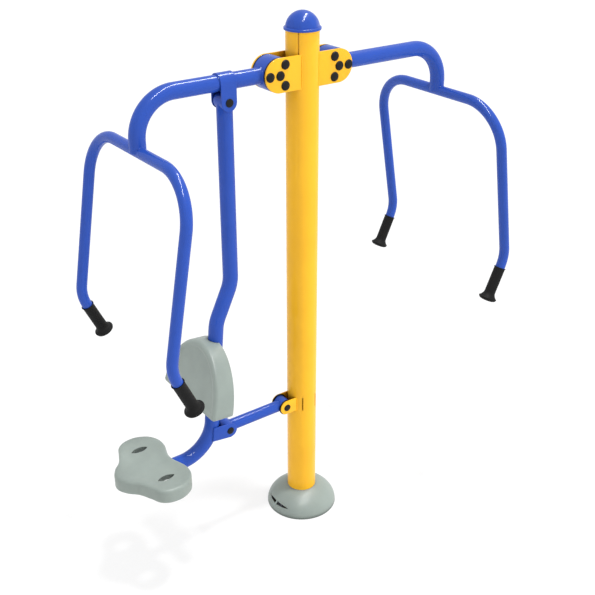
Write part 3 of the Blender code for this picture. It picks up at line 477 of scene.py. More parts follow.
def weld(points, radius=WELD_R, closed=False):
    """A rippled weld bead along the points, with tapered ends."""
    points = [Vector(point) for point in points]
    points = resampled(points + points[:1] if closed else points)
    if closed:
        points = points[:-1]
    tangents = tangents_of(points, closed)
    rows = offsets_along(tangents, BEAD_SIDES)
    rings = []
    for i, (place, row) in enumerate(zip(points, rows)):
        ripple = 1 + WELD_RIPPLE_SHARE * cos(2 * pi * i * WELD_STEP / WELD_PITCH)
        from_end = min(i, len(points) - 1 - i) * WELD_STEP
        taper = 1.0 if closed else min(1.0, WELD_TIP_SHARE + from_end / (2 * radius))
        rings.append([place + direction * radius * ripple * taper for direction in row])
    return loft(rings, loop=closed)


def bevelled(bm, edges, radius):
    bmesh.ops.bevel(bm, geom=edges, offset=radius, segments=BEVEL_SEGMENTS, profile=0.5, affect="EDGES",
                    clamp_overlap=True)
    return mesh_of(bm)


def plate(outline, thickness, matrix, edge=PLATE_EDGE, cope_side=0):
    """A plate in the local XY plane with rounded rims. A cope side is the side of the post to whose surface
    the vertices on the station's middle plane are moved out."""
    bm = bmesh.new()
    low = [bm.verts.new((x, y, -thickness / 2)) for x, y in outline]
    base = bm.faces.new(low)
    raised = bmesh.ops.extrude_face_region(bm, geom=[base])
    top = [item for item in raised["geom"] if isinstance(item, bmesh.types.BMVert)]
    bmesh.ops.translate(bm, vec=(0.0, 0.0, thickness), verts=top)
    bmesh.ops.recalc_face_normals(bm, faces=bm.faces)
    bmesh.ops.transform(bm, matrix=matrix, verts=bm.verts)
    if cope_side:
        for vert in bm.verts:
            if abs(vert.co.x) < GAP:
                vert.co.x = cope_side * sqrt((POST_R + GAP) ** 2 - vert.co.y ** 2)
    out = matrix.to_3x3() @ UP
    caps = [face for face in bm.faces
            if abs(face.normal.dot(out)) > FACING and len(face.verts) == len(outline)]
    return bevelled(bm, list({rim for face in caps for rim in face.edges}), edge)


def rounded_box(size, radius):
    bm = bmesh.new()
    bmesh.ops.create_cube(bm, size=1.0)
    bmesh.ops.scale(bm, vec=size, verts=bm.verts)
    return bevelled(bm, bm.edges, radius)


def placed(name, data):
    """A new object in the scene."""
    obj = bpy.data.objects.new(name, data)
    bpy.context.scene.collection.objects.link(obj)
    return obj


def evaluated(obj):
    """A mesh of the object as its modifiers or curve points leave it."""
    bpy.context.view_layer.update()
    graph = bpy.context.evaluated_depsgraph_get()
    return bpy.data.meshes.new_from_object(obj.evaluated_get(graph))


def carved(mesh, tools):
    """The mesh less the tools."""
    target = placed("carved", mesh)
    helpers = [placed("tool", tool) for tool in tools]
    for helper in helpers:
        modifier = target.modifiers.new("Cut", "BOOLEAN")
        modifier.object = helper
        modifier.operation = "DIFFERENCE"
        modifier.solver = "EXACT"
    result = evaluated(target)
    for helper in [target, *helpers]:
        bpy.data.objects.remove(helper)
    return result


def joined(meshes):
    bm = bmesh.new()
    for mesh in meshes:
        bm.from_mesh(mesh)
    return mesh_of(bm)


def piece(node, body, slot, *meshes):
    """One visible piece, which stands for the CAD node of its name and rides on a body."""
    mesh = joined(meshes)
    mesh.name = f"{node}_fine"
    mesh.materials.clear()
    mesh.materials.append(FINISHES[slot])
    mesh.shade_smooth()
    mesh.set_sharp_from_angle(angle=SHARP_ANGLE)
    obj = placed(f"{node}_fine", mesh)
    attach(obj, body)
    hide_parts(node)


# Materials


def wired(tree, node, output, **inputs):
    """An output of the node, whose inputs are given numbers, colours or other nodes' outputs."""
    for name, value in inputs.items():
        socket = node.inputs[name.replace("_", " ")]
        if isinstance(value, bpy.types.NodeSocket):
            tree.links.new(value, socket)
        else:
            socket.default_value = (*value, 1.0) if isinstance(value, tuple) else value
    return node.outputs[output]


def new_material(name, colour, roughness, **sockets):
    """A material and its base shader, with values for more of the shader's sockets."""
    material = bpy.data.materials.new(name)
    material.use_nodes = True
    shader = material.node_tree.nodes["Principled BSDF"]
    wired(material.node_tree, shader, "BSDF", Base_Color=colour, Roughness=roughness, **sockets)
    return material, shader


def varied(material, shader, tint, matt, normal):
    """The material, with what varies over its surface linked to its shader."""
    wired(material.node_tree, shader, "BSDF", Base_Color=tint, Roughness=matt, Normal=normal)
    return material


def texture(tree, kind, output, **values):
    """A texture over the station's own coordinates, with its scale in cells a metre."""
    coordinates = tree.nodes.new("ShaderNodeTexCoord").outputs["Object"]
    return wired(tree, tree.nodes.new(kind), output, Vector=coordinates, **values)


def noise(tree, scale, detail):
    return texture(tree, "ShaderNodeTexNoise", "Fac", Scale=scale, Detail=detail)


def cells(tree, scale, output):
    return texture(tree, "ShaderNodeTexVoronoi", output, Scale=scale)


def span(tree, source, low, high, start=0.3, end=0.7):
    """The source mapped from start..end to low..high."""
    node = tree.nodes.new("ShaderNodeMapRange")
    return wired(tree, node, "Result", Value=source, From_Min=start, From_Max=end, To_Min=low, To_Max=high)


def mixed(tree, factor, low, high):
    """A colour from low to high by a factor. Each is a colour or another node's output."""
    node = tree.nodes.new("ShaderNodeMix")
    node.data_type = "RGBA"
    return wired(tree, node, "Result", Factor=factor, A=low, B=high)


def bump(tree, height, distance, strength, **onto):
    """A bumped normal, which may lie onto another Normal."""
    node = tree.nodes.new("ShaderNodeBump")
    return wired(tree, node, "Normal", Height=height, Distance=distance, Strength=strength, **onto)


def painted_hollow_shade(tree, tint, colour, reach, shut, open_air):
    """Painted shade: the tint, deeper and darker in hollows narrower than the reach, as if light had bounced
    off it twice there. It is deepest where the open share is at shut, and unchanged from open air on."""
    hollow = tree.nodes.new("ShaderNodeAmbientOcclusion")
    hollow.samples = HOLLOW_SHADE_SAMPLES
    openness = wired(tree, hollow, "AO", Distance=reach)
    deep = tuple(HOLLOW_SHADE_SHARE * value * value / max(colour) for value in colour)
    return mixed(tree, span(tree, openness, HOLLOW_SHADE_MOST, 0.0, shut, open_air), tint, deep)


def shaded(colour, share):
    return tuple(min(1.0, channel * share) for channel in colour)


def powder_coat(name, colour, roughness):
    """Sprayed powder paint: even colour with faint clouds, specks, a fine orange peel and painted shade in
    hollows.
    """
    material, shader = new_material(name, colour, roughness, Coat_Weight=0.36, Coat_Roughness=0.06,
                                    Specular_IOR_Level=0.06)
    tree = material.node_tree
    clouds = span(tree, noise(tree, 5.0, 3.0), 0.0, 1.0)
    paint = mixed(tree, clouds, shaded(colour, 0.95), shaded(colour, 1.04))
    specks = span(tree, noise(tree, 1500.0, 1.0), 0.0, 0.35, 0.66, 0.80)
    paint = mixed(tree, specks, paint, shaded(colour, 0.72))
    # Painted shade: the paint turns deeper and darker in hollows and between parts.
    paint = painted_hollow_shade(tree, paint, colour, 0.060, 0.15, 0.60)
    matt = span(tree, noise(tree, 40.0, 4.0), roughness - 0.03, roughness + 0.05)
    peel = bump(tree, noise(tree, 420.0, 2.0), 0.00012, 0.35)
    return varied(material, shader, paint, matt, peel)


def moulded_plastic(name, colour, roughness, gloss, grain=900.0):
    """Moulded plastic: a fine sparked grain, faint flow clouds, scuffs and painted shade in hollows."""
    material, shader = new_material(name, colour, roughness, Specular_IOR_Level=gloss)
    tree = material.node_tree
    clouds = span(tree, noise(tree, 9.0, 4.0), 0.0, 1.0)
    tint = mixed(tree, clouds, shaded(colour, 0.93), shaded(colour, 1.06))
    dust = span(tree, noise(tree, 2200.0, 1.0), 0.0, 0.3, 0.62, 0.80)
    tint = mixed(tree, dust, tint, shaded(colour, 1.35))
    # Painted shade: the plastic turns deeper and darker in hollows and between parts.
    tint = painted_hollow_shade(tree, tint, colour, 0.045, 0.50, 0.80)
    matt = span(tree, noise(tree, 60.0, 5.0), roughness - 0.05, roughness + 0.06)
    sparked = bump(tree, cells(tree, grain, "Distance"), 0.00015, 0.35)
    scuffed = bump(tree, noise(tree, 25.0, 2.0), 0.0006, 0.15, Normal=sparked)
    return varied(material, shader, tint, matt, scuffed)


def zinc(name, colour, roughness):
    """Hot-dip zinc: flat crystals of differing grey with a soft grain."""
    material, shader = new_material(name, colour, roughness, Metallic=1.0)
    tree = material.node_tree
    crystals = span(tree, cells(tree, 140.0, "Color"), 0.0, 1.0, 0.0, 1.0)
    tint = mixed(tree, crystals, shaded(colour, 0.78), shaded(colour, 1.2))
    matt = span(tree, noise(tree, 200.0, 3.0), roughness - 0.08, roughness + 0.12)
    return varied(material, shader, tint, matt, bump(tree, noise(tree, 600.0, 3.0), 0.0001, 0.4))


# Painted shade in hollows: the darkest tint's share of the colour, how strongly it is laid on, and the
# occlusion samples.
HOLLOW_SHADE_SHARE = 0.20
HOLLOW_SHADE_MOST = 0.95
HOLLOW_SHADE_SAMPLES = 8
YELLOW = (1.0, 0.510, 0.022)
BLUE = (0.022, 0.078, 0.43)
GREY = (0.272, 0.318, 0.292)
BLACK = (0.009, 0.009, 0.009)
RUBBER = (0.010, 0.010, 0.010)
ZINC = (0.56, 0.57, 0.58)
STEEL = (0.62, 0.62, 0.63)

yellow = powder_coat("station_yellow", YELLOW, 0.38)
blue = powder_coat("station_blue", BLUE, 0.38)
grey = moulded_plastic("station_grey", GREY, 0.38, 0.40)
black = moulded_plastic("station_black", BLACK, 0.45, 0.18)
rubber = moulded_plastic("station_rubber", RUBBER, 0.60, 0.12, 1300.0)
galvanised = zinc("station_zinc", ZINC, 0.38)
ground_steel = zinc("station_bearing", STEEL, 0.24)

FINISHES = {
    "yellow_paint": yellow,
    "blue_paint": blue,
    "cap_blue": blue,
    "grey_plastic": grey,
    "black_plastic": black,
    "covered_bolt": black,
    "grip_rubber": rubber,
}


# Post and base


def build_post():
    low = BASE_THICK + GAP
    inner = POST_R - POST_WALL
    wall = even([(POST_R, POST_TOP), (POST_R, low), (inner, low), (inner, POST_TOP)], POST_EDGE)
    cuts = [moved(rounded_box((PIVOT_PLATE_THICK, POST_R, POST_SLIT_TALL), SLIT_EDGE),
                  Matrix.Translation((side * PIVOT_PLATE_MIDDLE, -POST_R, LINK_Z))) for side in (-1, 1)]
    seam = rounded_box((2 * SEAM_DEEP, SEAM_WIDE, POST_TOP - HUB_Z), SMALL_EDGE)
    spot = Matrix.Translation((POST_R, 0.0, (POST_TOP + HUB_Z) / 2))
    cuts.append(moved(seam, Matrix.Rotation(SEAM_TURN, 4, "Z") @ spot))
    piece("post_tube", "post", "yellow_paint", carved(lathe(wall, POST_SIDES), cuts))


def faceted_dome(seat):
    """A dome with flat facets round its sides."""
    centre = seat + CAP_DOME_SEAT
    start = asin((centre - seat) / CAP_DOME_R)
    profile = arc((0.0, centre), CAP_DOME_R, -start, pi / 2, DOME_STEPS)
    profile[-1] = (0.0, centre + CAP_DOME_R)
    bm = bmesh.new()
    bm.from_mesh(lathe(profile[::-1] + [(0.0, seat)], DOME_SIDES))
    for turn in [FACET_START + a for a in full_turn(FACET_COUNT)]:
        out = Vector((cos(turn) * cos(FACET_TILT), sin(turn) * cos(FACET_TILT), sin(FACET_TILT)))
        spot = Vector((0.0, 0.0, centre)) + out * CAP_DOME_R * cos(FACET_SPAN)
        geometry = list(bm.verts) + list(bm.edges) + list(bm.faces)
        cut = bmesh.ops.bisect_plane(bm, geom=geometry, plane_co=spot, plane_no=out, clear_outer=True)
        rim = [item for item in cut["geom_cut"] if isinstance(item, bmesh.types.BMEdge)]
        bmesh.ops.holes_fill(bm, edges=rim, sides=0)
    bmesh.ops.recalc_face_normals(bm, faces=bm.faces)
    return mesh_of(bm)


def build_post_cap():
    seat = POST_TOP + GAP
    rise = seat + CAP_BEAD_TALL
    outer = POST_R - POST_WALL - GAP
    inner = outer - CAP_SPIGOT_WALL
    low = seat - CAP_SPIGOT_TALL
    bead = [(CAP_BEAD_R, seat), (CAP_BEAD_R, rise), (inner, rise), (inner, low), (outer, low), (outer, seat)]
    radii = [CAP_BEAD_LOW_EDGE, CAP_BEAD_TOP_EDGE, 0.0, 0.0, CAP_SPIGOT_EDGE, 0.0]
    piece("post_cap", "post", "cap_blue", faceted_dome(seat), lathe(fillet(bead, radii)))


def build_cover():
    """The plastic dome over the base, with a lens-shaped hand slot that a rib divides."""
    neck = POST_R + GAP
    outer, inner = ([(r * cos(a), tall * sin(a))
                     for a in [acos(neck / r) * share for share in spread(1.0, 0.0, COVER_STEPS)]]
                    for r, tall in ((COVER_R, COVER_TALL), (COVER_R - COVER_WALL, COVER_TALL - COVER_WALL)))
    half = HAND_SLOT_WIDTH / 2
    rib = HAND_SLOT_RIB / 2
    rise = [(y, HAND_SLOT_TALL / 2 * (1 - (y / half) ** 2)) for y in spread(rib, half, ARC_STEPS)]
    place = frame_at(Vector((-COVER_R, 0.0, HAND_SLOT_Z)), UP, RIGHT)
    slots = []
    for side in (-1, 1):
        wedge = [(side * y, z) for y, z in rise] + [(side * y, -z) for y, z in rise[-2::-1]]
        slots.append(plate(wedge, HAND_SLOT_DEEP, place, HAND_SLOT_EDGE))
    shell = lathe(outer + inner[::-1], POST_SIDES)
    piece("base_cover", "post", "grey_plastic", carved(shell, slots))


# Hubs


def tongue(radius, reach):
    """A plate's outline: round about the origin on the far side from reach, and straight to it."""
    side = 1 if reach > 0 else -1
    end = arc((0.0, 0.0), radius, pi / 2, 3 * pi / 2, SMALL_SIDES)
    return [(side * x, y) for x, y in end] + [(reach, -radius), (reach, radius)]


def add_bolt(node, body, place, kind, sleeve_r=0.0):
    """A bolt with a domed cover on each end, and a sleeve between the hub plates. Its kind is its radius, the
    plates' outer face, and a cover's radius and height."""
    radius, face, cap_r, cap_tall = kind
    low = face + GAP
    shoulder = low + BOLT_CAP_FOOT
    half = [(cap_r * sin(a), shoulder + (cap_tall - BOLT_CAP_FOOT) * cos(a))
            for a in spread(0.0, pi / 2, ARC_STEPS)]
    half[0] = (0.0, low + cap_tall)
    half += [(cap_r, low), (radius, low)]
    if sleeve_r:
        half += [(radius, HUB_CLEAR - GAP), (sleeve_r, HUB_CLEAR - GAP)]
    bolt = lathe(mirrored(half), SMALL_SIDES)
    piece(node, body, "covered_bolt", moved(bolt, across_post(place)))


def stop_spots(side):
    outward = 0.0 if side > 0 else pi
    return [outward + side * a for a in full_turn(STOP_COUNT)]


def hub_plate_welds(side, face):
    """The beads that join a hub plate to the post, outside and inside."""
    reach = DRUM_R - HUB_WELD_SHORT
    result = []
    for y in (HUB_PLATE_FACE, HUB_CLEAR):
        x = side * sqrt(POST_R ** 2 - y ** 2)
        result.append(weld([(x, face * y, HUB_Z - reach), (x, face * y, HUB_Z + reach)]))
    return result


def build_hub_frame(side, name):
    centre = Vector((side * HUB_REACH, 0.0, HUB_Z))
    half = DISC_THICK / 2
    bore = DRUM_R - DISC_WIDTH
    disc = even([(DRUM_R, half), (DRUM_R, -half), (bore, -half), (bore, half)], SMALL_EDGE)
    for face, face_name in FACE_NAMES:
        place = across_post(centre + BACK * face * (HUB_CLEAR + HUB_PLATE_THICK / 2))
        shape = plate(tongue(DRUM_R, -side * HUB_REACH), HUB_PLATE_THICK, place, cope_side=side)
        piece(f"hub_plate_{name}_{face_name}", "post", "yellow_paint", shape, *hub_plate_welds(side, face))
        place = across_post(centre + BACK * face * (HUB_CLEAR - GAP - half))
        piece(f"{name}_disc_{face_name}", "post", "black_plastic", moved(lathe(disc), place))
    add_bolt(f"{name}_axle", "post", centre, HUB_BOLT, AXLE_SLEEVE_R)
    for i, a in enumerate(stop_spots(side)):
        place = centre + Vector((STOP_CIRCLE * cos(a), 0.0, STOP_CIRCLE * sin(a)))
        add_bolt(f"{name}_stop_bolt_{i + 1}", "post", place, HUB_BOLT, STOP_SLEEVE_R)


def arc_slot(radius, half_width, start, end):
    """A slot's outline along an arc about the origin, with round ends."""
    outer = arc((0.0, 0.0), radius + half_width, start, end)
    inner = arc((0.0, 0.0), radius - half_width, end, start)
    far = arc((radius * cos(end), radius * sin(end)), half_width, end, end + pi)
    near = arc((radius * cos(start), radius * sin(start)), half_width, start + pi, start + 2 * pi)
    return outer + far[1:-1] + inner + near[1:-1]


def build_drum(side, name):
    centre = Vector((side * HUB_REACH, 0.0, HUB_Z))
    inner = DRUM_R - DRUM_WALL
    bore = BEARING_R + 2 * GAP
    half = [(inner, WEB_IN), (bore, WEB_IN), (bore, WEB_OUT), (inner, WEB_OUT), (inner, DRUM_HALF),
            (DRUM_R, DRUM_HALF)]
    radii = [0.0, 0.0, 0.0, 0.0, DRUM_EDGE, DRUM_EDGE]
    shape = lathe(fillet(mirrored(half), radii + radii[::-1]))
    slots = []
    for a in stop_spots(side):
        outline = arc_slot(STOP_CIRCLE, STOP_SLEEVE_R + 1.5 * RUN, *sorted((a, a - side * ARM_SWING)))
        slots.append(plate(outline, 2 * DRUM_HALF, Matrix(), CUT_EDGE))
    bead = saddle_weld(centre, ARM_R, DRUM_R, RIGHT * side, UP, WELD_R)
    piece(f"{name}_drum", f"{name}_arm", "blue_paint", moved(carved(shape, slots), across_post(centre)), bead)


def saddle_weld(place, radius, round_r, along, across, bead_r=TUBE_WELD_R):
    """The bead where a tube meets a crossing round piece, whose axis runs through the place."""
    points = []
    for a in full_turn(WELD_POINTS):
        side = radius * sin(a)
        level = sqrt(round_r ** 2 - side ** 2)
        points.append(place + along * level + across * side + BACK * radius * cos(a))
    return weld(points, bead_r, closed=True)


# Arms and handle frames


def build_arm(side, name):
    body = f"{name}_arm"
    hub = Vector((side * HUB_REACH, 0.0, HUB_Z))
    crossbar = Vector((side * CROSSBAR_REACH, 0.0, CROSSBAR_Z))
    line = route([hub, Vector((crossbar.x, 0.0, HUB_Z)), crossbar], [ARM_BEND_R])
    arm = tube(line, ARM_R, ARM_WALL, saddle(DRUM_R, UP), saddle(FRAME_R, RIGHT))
    piece(f"{name}_arm_tube", body, "blue_paint", arm, *crossbar_welds(crossbar))
    down_leg = Vector((side * sin(FRAME_LEAN), 0.0, -cos(FRAME_LEAN)))
    down_grip = Vector((-side * sin(GRIP_SLANT), 0.0, -cos(GRIP_SLANT)))
    legs = []
    for face, face_name in FACE_NAMES:
        corner = crossbar + BACK * face * FRAME_HALF
        elbow = corner + down_leg * LEG_LENGTH
        legs.append([corner, elbow, elbow + down_grip * (GRIP_START + GRIP_TUBE_IN)])
        place = frame_at(elbow + down_grip * GRIP_START, BACK, -down_grip)
        piece(f"{name}_grip_{face_name}", body, "grip_rubber", moved(grip_shape(), place))
    radii = [ELBOW_R, FRAME_CORNER_R, FRAME_CORNER_R, ELBOW_R]
    bent = tube(route(legs[0][::-1] + legs[1], radii), FRAME_R, FRAME_WALL)
    piece(f"{name}_handle_frame", body, "blue_paint", bent)


def crossbar_welds(crossbar):
    """The two beads round the arm's end on the crossbar."""
    points = []
    for a in full_turn(WELD_POINTS):
        x = ARM_R * cos(a)
        if abs(x) < FRAME_R:
            points.append((crossbar.x + x, ARM_R * sin(a), crossbar.z + sqrt(FRAME_R ** 2 - x ** 2)))
    half = len(points) // 2
    return weld(points[:half]), weld(points[half:])


def grip_groove(share):
    """How deep the ridges of a grip's flange cut in at a share of their run."""
    return GRIP_RIDGE_DEEP * (1 - cos(2 * pi * GRIP_RIDGES * share)) / 2


def grip_shape():
    """A hand grip that hangs down local Z from its lip: a smooth sleeve and a ridged flange with a dome."""
    bore = FRAME_R + 2 * GAP
    profile = [(0.0, -GRIP_TUBE_IN - GAP), (bore, -GRIP_TUBE_IN - GAP), (bore, -GRIP_MOUTH)]
    profile += [(FRAME_R + over, z) for over, z in GRIP_LIP]
    for share in spread(0.0, 1.0, GRIP_TRUMPET_STEPS):
        groove = grip_groove(max(0.0, (share - GRIP_RIDGE_START) / (1 - GRIP_RIDGE_START)))
        over = GRIP_OVER + (GRIP_FLANGE_OVER - GRIP_OVER) * share ** GRIP_TRUMPET
        z = GRIP_NECK_END + (GRIP_FLANGE_TOP - GRIP_NECK_END) * share + groove
        profile.append((FRAME_R + over, -z))
    for i in range(GRIP_DOME_STEPS):
        a = pi / 2 * i / GRIP_DOME_STEPS
        groove = grip_groove(min(1.0, 2 * i / GRIP_DOME_STEPS))
        z = GRIP_RIM_END + (GRIP_END - GRIP_RIM_END) * sin(a)
        profile.append(((FRAME_R + GRIP_FLANGE_OVER) * cos(a) ** GRIP_DOME_POWER - groove * cos(a), -z))
    return lathe(profile + [(0.0, -GRIP_END)], SMALL_SIDES)


# Hanging seat carrier


def build_strap():
    """The strap over the left arm, whose two legs end round the hanger's bolt."""
    top = HUB_Z - HANGER_Z
    middle = PIVOT_PLATE_MIDDLE
    foot = STRAP_WIDE / 2
    leg = [(-middle, -foot * cos(a)) for a in spread(0.0, pi / 2, STRAP_STEPS)[:-1]]
    leg += [(-middle, z) for z in spread(0.0, top, STRAP_LEG_STEPS)]
    bow = [(-middle * cos(a), top + middle * sin(a)) for a in spread(0.0, pi, 2 * STRAP_STEPS)[1:-1]]
    path = leg + bow + [(-y, z) for y, z in leg[::-1]]
    rings = []
    for i, (y, z) in enumerate(path):
        before = Vector(path[max(0, i - 1)])
        after = Vector(path[min(len(path) - 1, i + 1)])
        along = (after - before).normalized()
        out = Vector((-along.y, along.x)) * PIVOT_PLATE_THICK / 2
        half = sqrt(foot ** 2 - min(0.0, z) ** 2) + STRAP_END
        edge = min(STRAP_EDGE, half / 2)
        section = [(-half, -0.5), (-half + edge, -1.0), (half - edge, -1.0), (half, -0.5), (half, 0.5),
                   (half - edge, 1.0), (-half + edge, 1.0), (-half, 0.5)]
        rings.append([(HANGER_X + x, y + out.x * t, HANGER_Z + z + out.y * t) for x, t in section])
    on_arm = arc((0.0, HUB_Z), ARM_R + STRAP_WELD_OUT, pi, 0.0, STRAP_WELD_STEPS)
    welds = [weld([(HANGER_X + x, y, z) for y, z in on_arm], THIN_WELD_R)
             for x in (-foot - STRAP_WELD_BESIDE, foot + STRAP_WELD_BESIDE)]
    piece("hanger_strap", "left_arm", "blue_paint", loft(rings), *welds)
    add_bolt("hanger_bolt", "left_arm", Vector((HANGER_X, 0.0, HANGER_Z)), PIVOT_BOLT)


def barrel_shape(half, place):
    inner = PIVOT_BARREL_R - PIVOT_BARREL_WALL
    corners = [(PIVOT_BARREL_R, half), (PIVOT_BARREL_R, -half), (inner, -half), (inner, half)]
    profile = fillet(corners, [BARREL_EDGE, BARREL_EDGE, 0.0, 0.0])
    return moved(lathe(profile, TUBE_SIDES), across_post(place))


def add_bushes(name, body, place, play, barrel_half, flange_r):
    """The two flanged bushes of a barrel, each with its flange between the barrel and the plate beside it."""
    bore = PIVOT_BOLT_R + play
    outer = PIVOT_BARREL_R - PIVOT_BARREL_WALL - GAP
    seat = barrel_half + GAP
    rim = PIVOT_CLEAR - GAP
    corners = [(flange_r, rim), (flange_r, seat), (outer, seat), (outer, seat - BUSH_LONG),
               (bore, seat - BUSH_LONG), (bore, rim)]
    profile = fillet(corners, [FLANGE_EDGE, FLANGE_EDGE, 0.0, BUSH_EDGE, 0.0, 0.0])
    for face, face_name in FACE_NAMES:
        matrix = across_post(place) @ (Matrix() if face < 0 else FLIPPED)
        piece(f"{name}_bush_{face_name}", body, "black_plastic", moved(lathe(profile, TUBE_SIDES), matrix))


def build_carrier():
    top = Vector((HANGER_X, 0.0, HANGER_Z))
    piece("hanger_barrel", "seat_carrier", "blue_paint", barrel_shape(PIVOT_BARREL_HALF, top))
    add_bushes("hanger", "seat_carrier", top, RUN, PIVOT_BARREL_HALF, PIVOT_BARREL_R)
    corners = [top, (HANGER_X, 0.0, KNEE_HIGH_Z), (KNEE_LOW_X, 0.0, KNEE_LOW_Z),
               (hanger_x_at(HANGER_FOOT_Z), 0.0, HANGER_FOOT_Z), (HANGER_END_X, 0.0, HANGER_FOOT_Z)]
    bent = tube(route(corners, [HANGER_BEND_R] * 3), ARM_R, ARM_WALL, saddle(PIVOT_BARREL_R, RIGHT))
    piece("hanger_tube", "seat_carrier", "blue_paint", bent)
    spigot = ARM_R - ARM_WALL - 3 * GAP
    rim = [(0.0, PLUG_THICK), (ARM_R, PLUG_THICK), (ARM_R, 0.0), (spigot, 0.0), (spigot, -PLUG_DEEP),
           (0.0, -PLUG_DEEP)]
    plug = lathe(fillet(rim, [0.0, PLUG_EDGE, SMALL_EDGE, 0.0, PLUG_END_EDGE, 0.0]), TUBE_SIDES)
    end = Vector((HANGER_END_X - GAP, 0.0, HANGER_FOOT_Z))
    piece("hanger_plug", "seat_carrier", "black_plastic", moved(plug, frame_at(end, UP, -RIGHT)))
    build_ears()
    build_backrest()
    build_seat()


def build_ears():
    place = Vector((LINK_SEAT_X, 0.0, LINK_Z))
    tilted_up = Vector((sin(EAR_TILT), 0.0, cos(EAR_TILT)))
    root = -EAR_REACH - EAR_OVERLAP
    half = PIVOT_PLATE_R - PLATE_WELD_SHORT
    for face, name in FACE_NAMES:
        middle = place + BACK * face * PIVOT_PLATE_MIDDLE
        matrix = frame_at(middle, tilted_up, -BACK)
        sheet = plate(tongue(PIVOT_PLATE_R, root), PIVOT_PLATE_THICK, matrix)
        level = face * (PIVOT_PLATE_THICK / 2 + WELD_LIFT)
        bead = weld([matrix @ Vector((root, y, level)) for y in (-half, half)], THIN_WELD_R)
        piece(f"ear_{name}", "seat_carrier", "blue_paint", sheet, bead)
    add_bolt("link_seat_bolt", "seat_carrier", place, PIVOT_BOLT)


def mount_pieces(name, matrix, reach_of):
    """The mounting plate with its studs, and the bosses of the shell over it, which are returned.

    The matrix is on the tube's surface. Its local X runs across the station and its local Z points at the
    shell. reach_of gives how far a boss at a place reaches."""
    top = GAP + MOUNT_THICK
    corners = [(x * MOUNT_WIDE / 2, y * MOUNT_LONG / 2) for x, y in ((-1, -1), (1, -1), (1, 1), (-1, 1))]
    middle = matrix @ Matrix.Translation((0.0, 0.0, GAP + MOUNT_THICK / 2))
    sheet = plate(even(corners, MOUNT_CORNER_R), MOUNT_THICK, middle)
    half = MOUNT_LONG / 2 - MOUNT_WELD_SHORT
    welds = [weld([matrix @ Vector((x, y, 0.0)) for y in (-half, half)], TUBE_WELD_R)
             for x in (-MOUNT_WELD_SPREAD, MOUNT_WELD_SPREAD)]
    low = top + GAP
    root = top - STUD_ROOT
    hole = STUD_R + GAP
    deep = low + STUD_LONG + 2 * GAP
    rod = [(0.0, root), (STUD_R, root), (STUD_R, top + STUD_LONG), (0.0, top + STUD_LONG)]
    studs = []
    bosses = []
    for x in (-STUD_SPREAD, STUD_SPREAD):
        for y in (-STUD_PITCH, STUD_PITCH):
            spot = matrix @ Matrix.Translation((x, y, 0.0))
            studs.append(moved(lathe(rod, STUD_SIDES), spot))
            high = low + reach_of(matrix @ Vector((x, y, low)))
            tower = [(0.0, high), (BOSS_R, high), (BOSS_R, low), (hole, low), (hole, deep), (0.0, deep)]
            bosses.append(moved(lathe(tower, SMALL_SIDES), spot))
    piece(f"{name}_mount", "seat_carrier", "blue_paint", sheet, *studs, *welds)
    return bosses


def back_outline(inset):
    """Half an ellipse over a straight foot with round corners, inset from the backrest's edge."""
    half = BACK_HALF - inset
    tall = BACK_TALL - inset
    corner = max(BACK_CORNER_R - inset, BACK_LEAST_R)
    low = inset + corner
    right = arc((half - corner, low), corner, -pi / 2, 0.0, ROLL_STEPS)
    start = asin(low / tall)
    crown = [(half * cos(a), tall * sin(a)) for a in spread(start, pi - start, OVAL_STEPS)[1:-1]]
    return right + crown + [(-x, y) for x, y in right[::-1]]


def quarter(radius, steps):
    """Insets and depths round a face's edge, from its side on. Over a foot, the depths are heights."""
    return [(radius * (1 - cos(a)), radius * (1 - sin(a))) for a in spread(0.0, pi / 2, steps)]


def tube_channel(half, matrix):
    """The room that a shell leaves for the hanger tube, along local Z."""
    reach = ARM_R + LOOSE
    return moved(lathe([(0.0, -half), (reach, -half), (reach, half), (0.0, half)]), matrix)


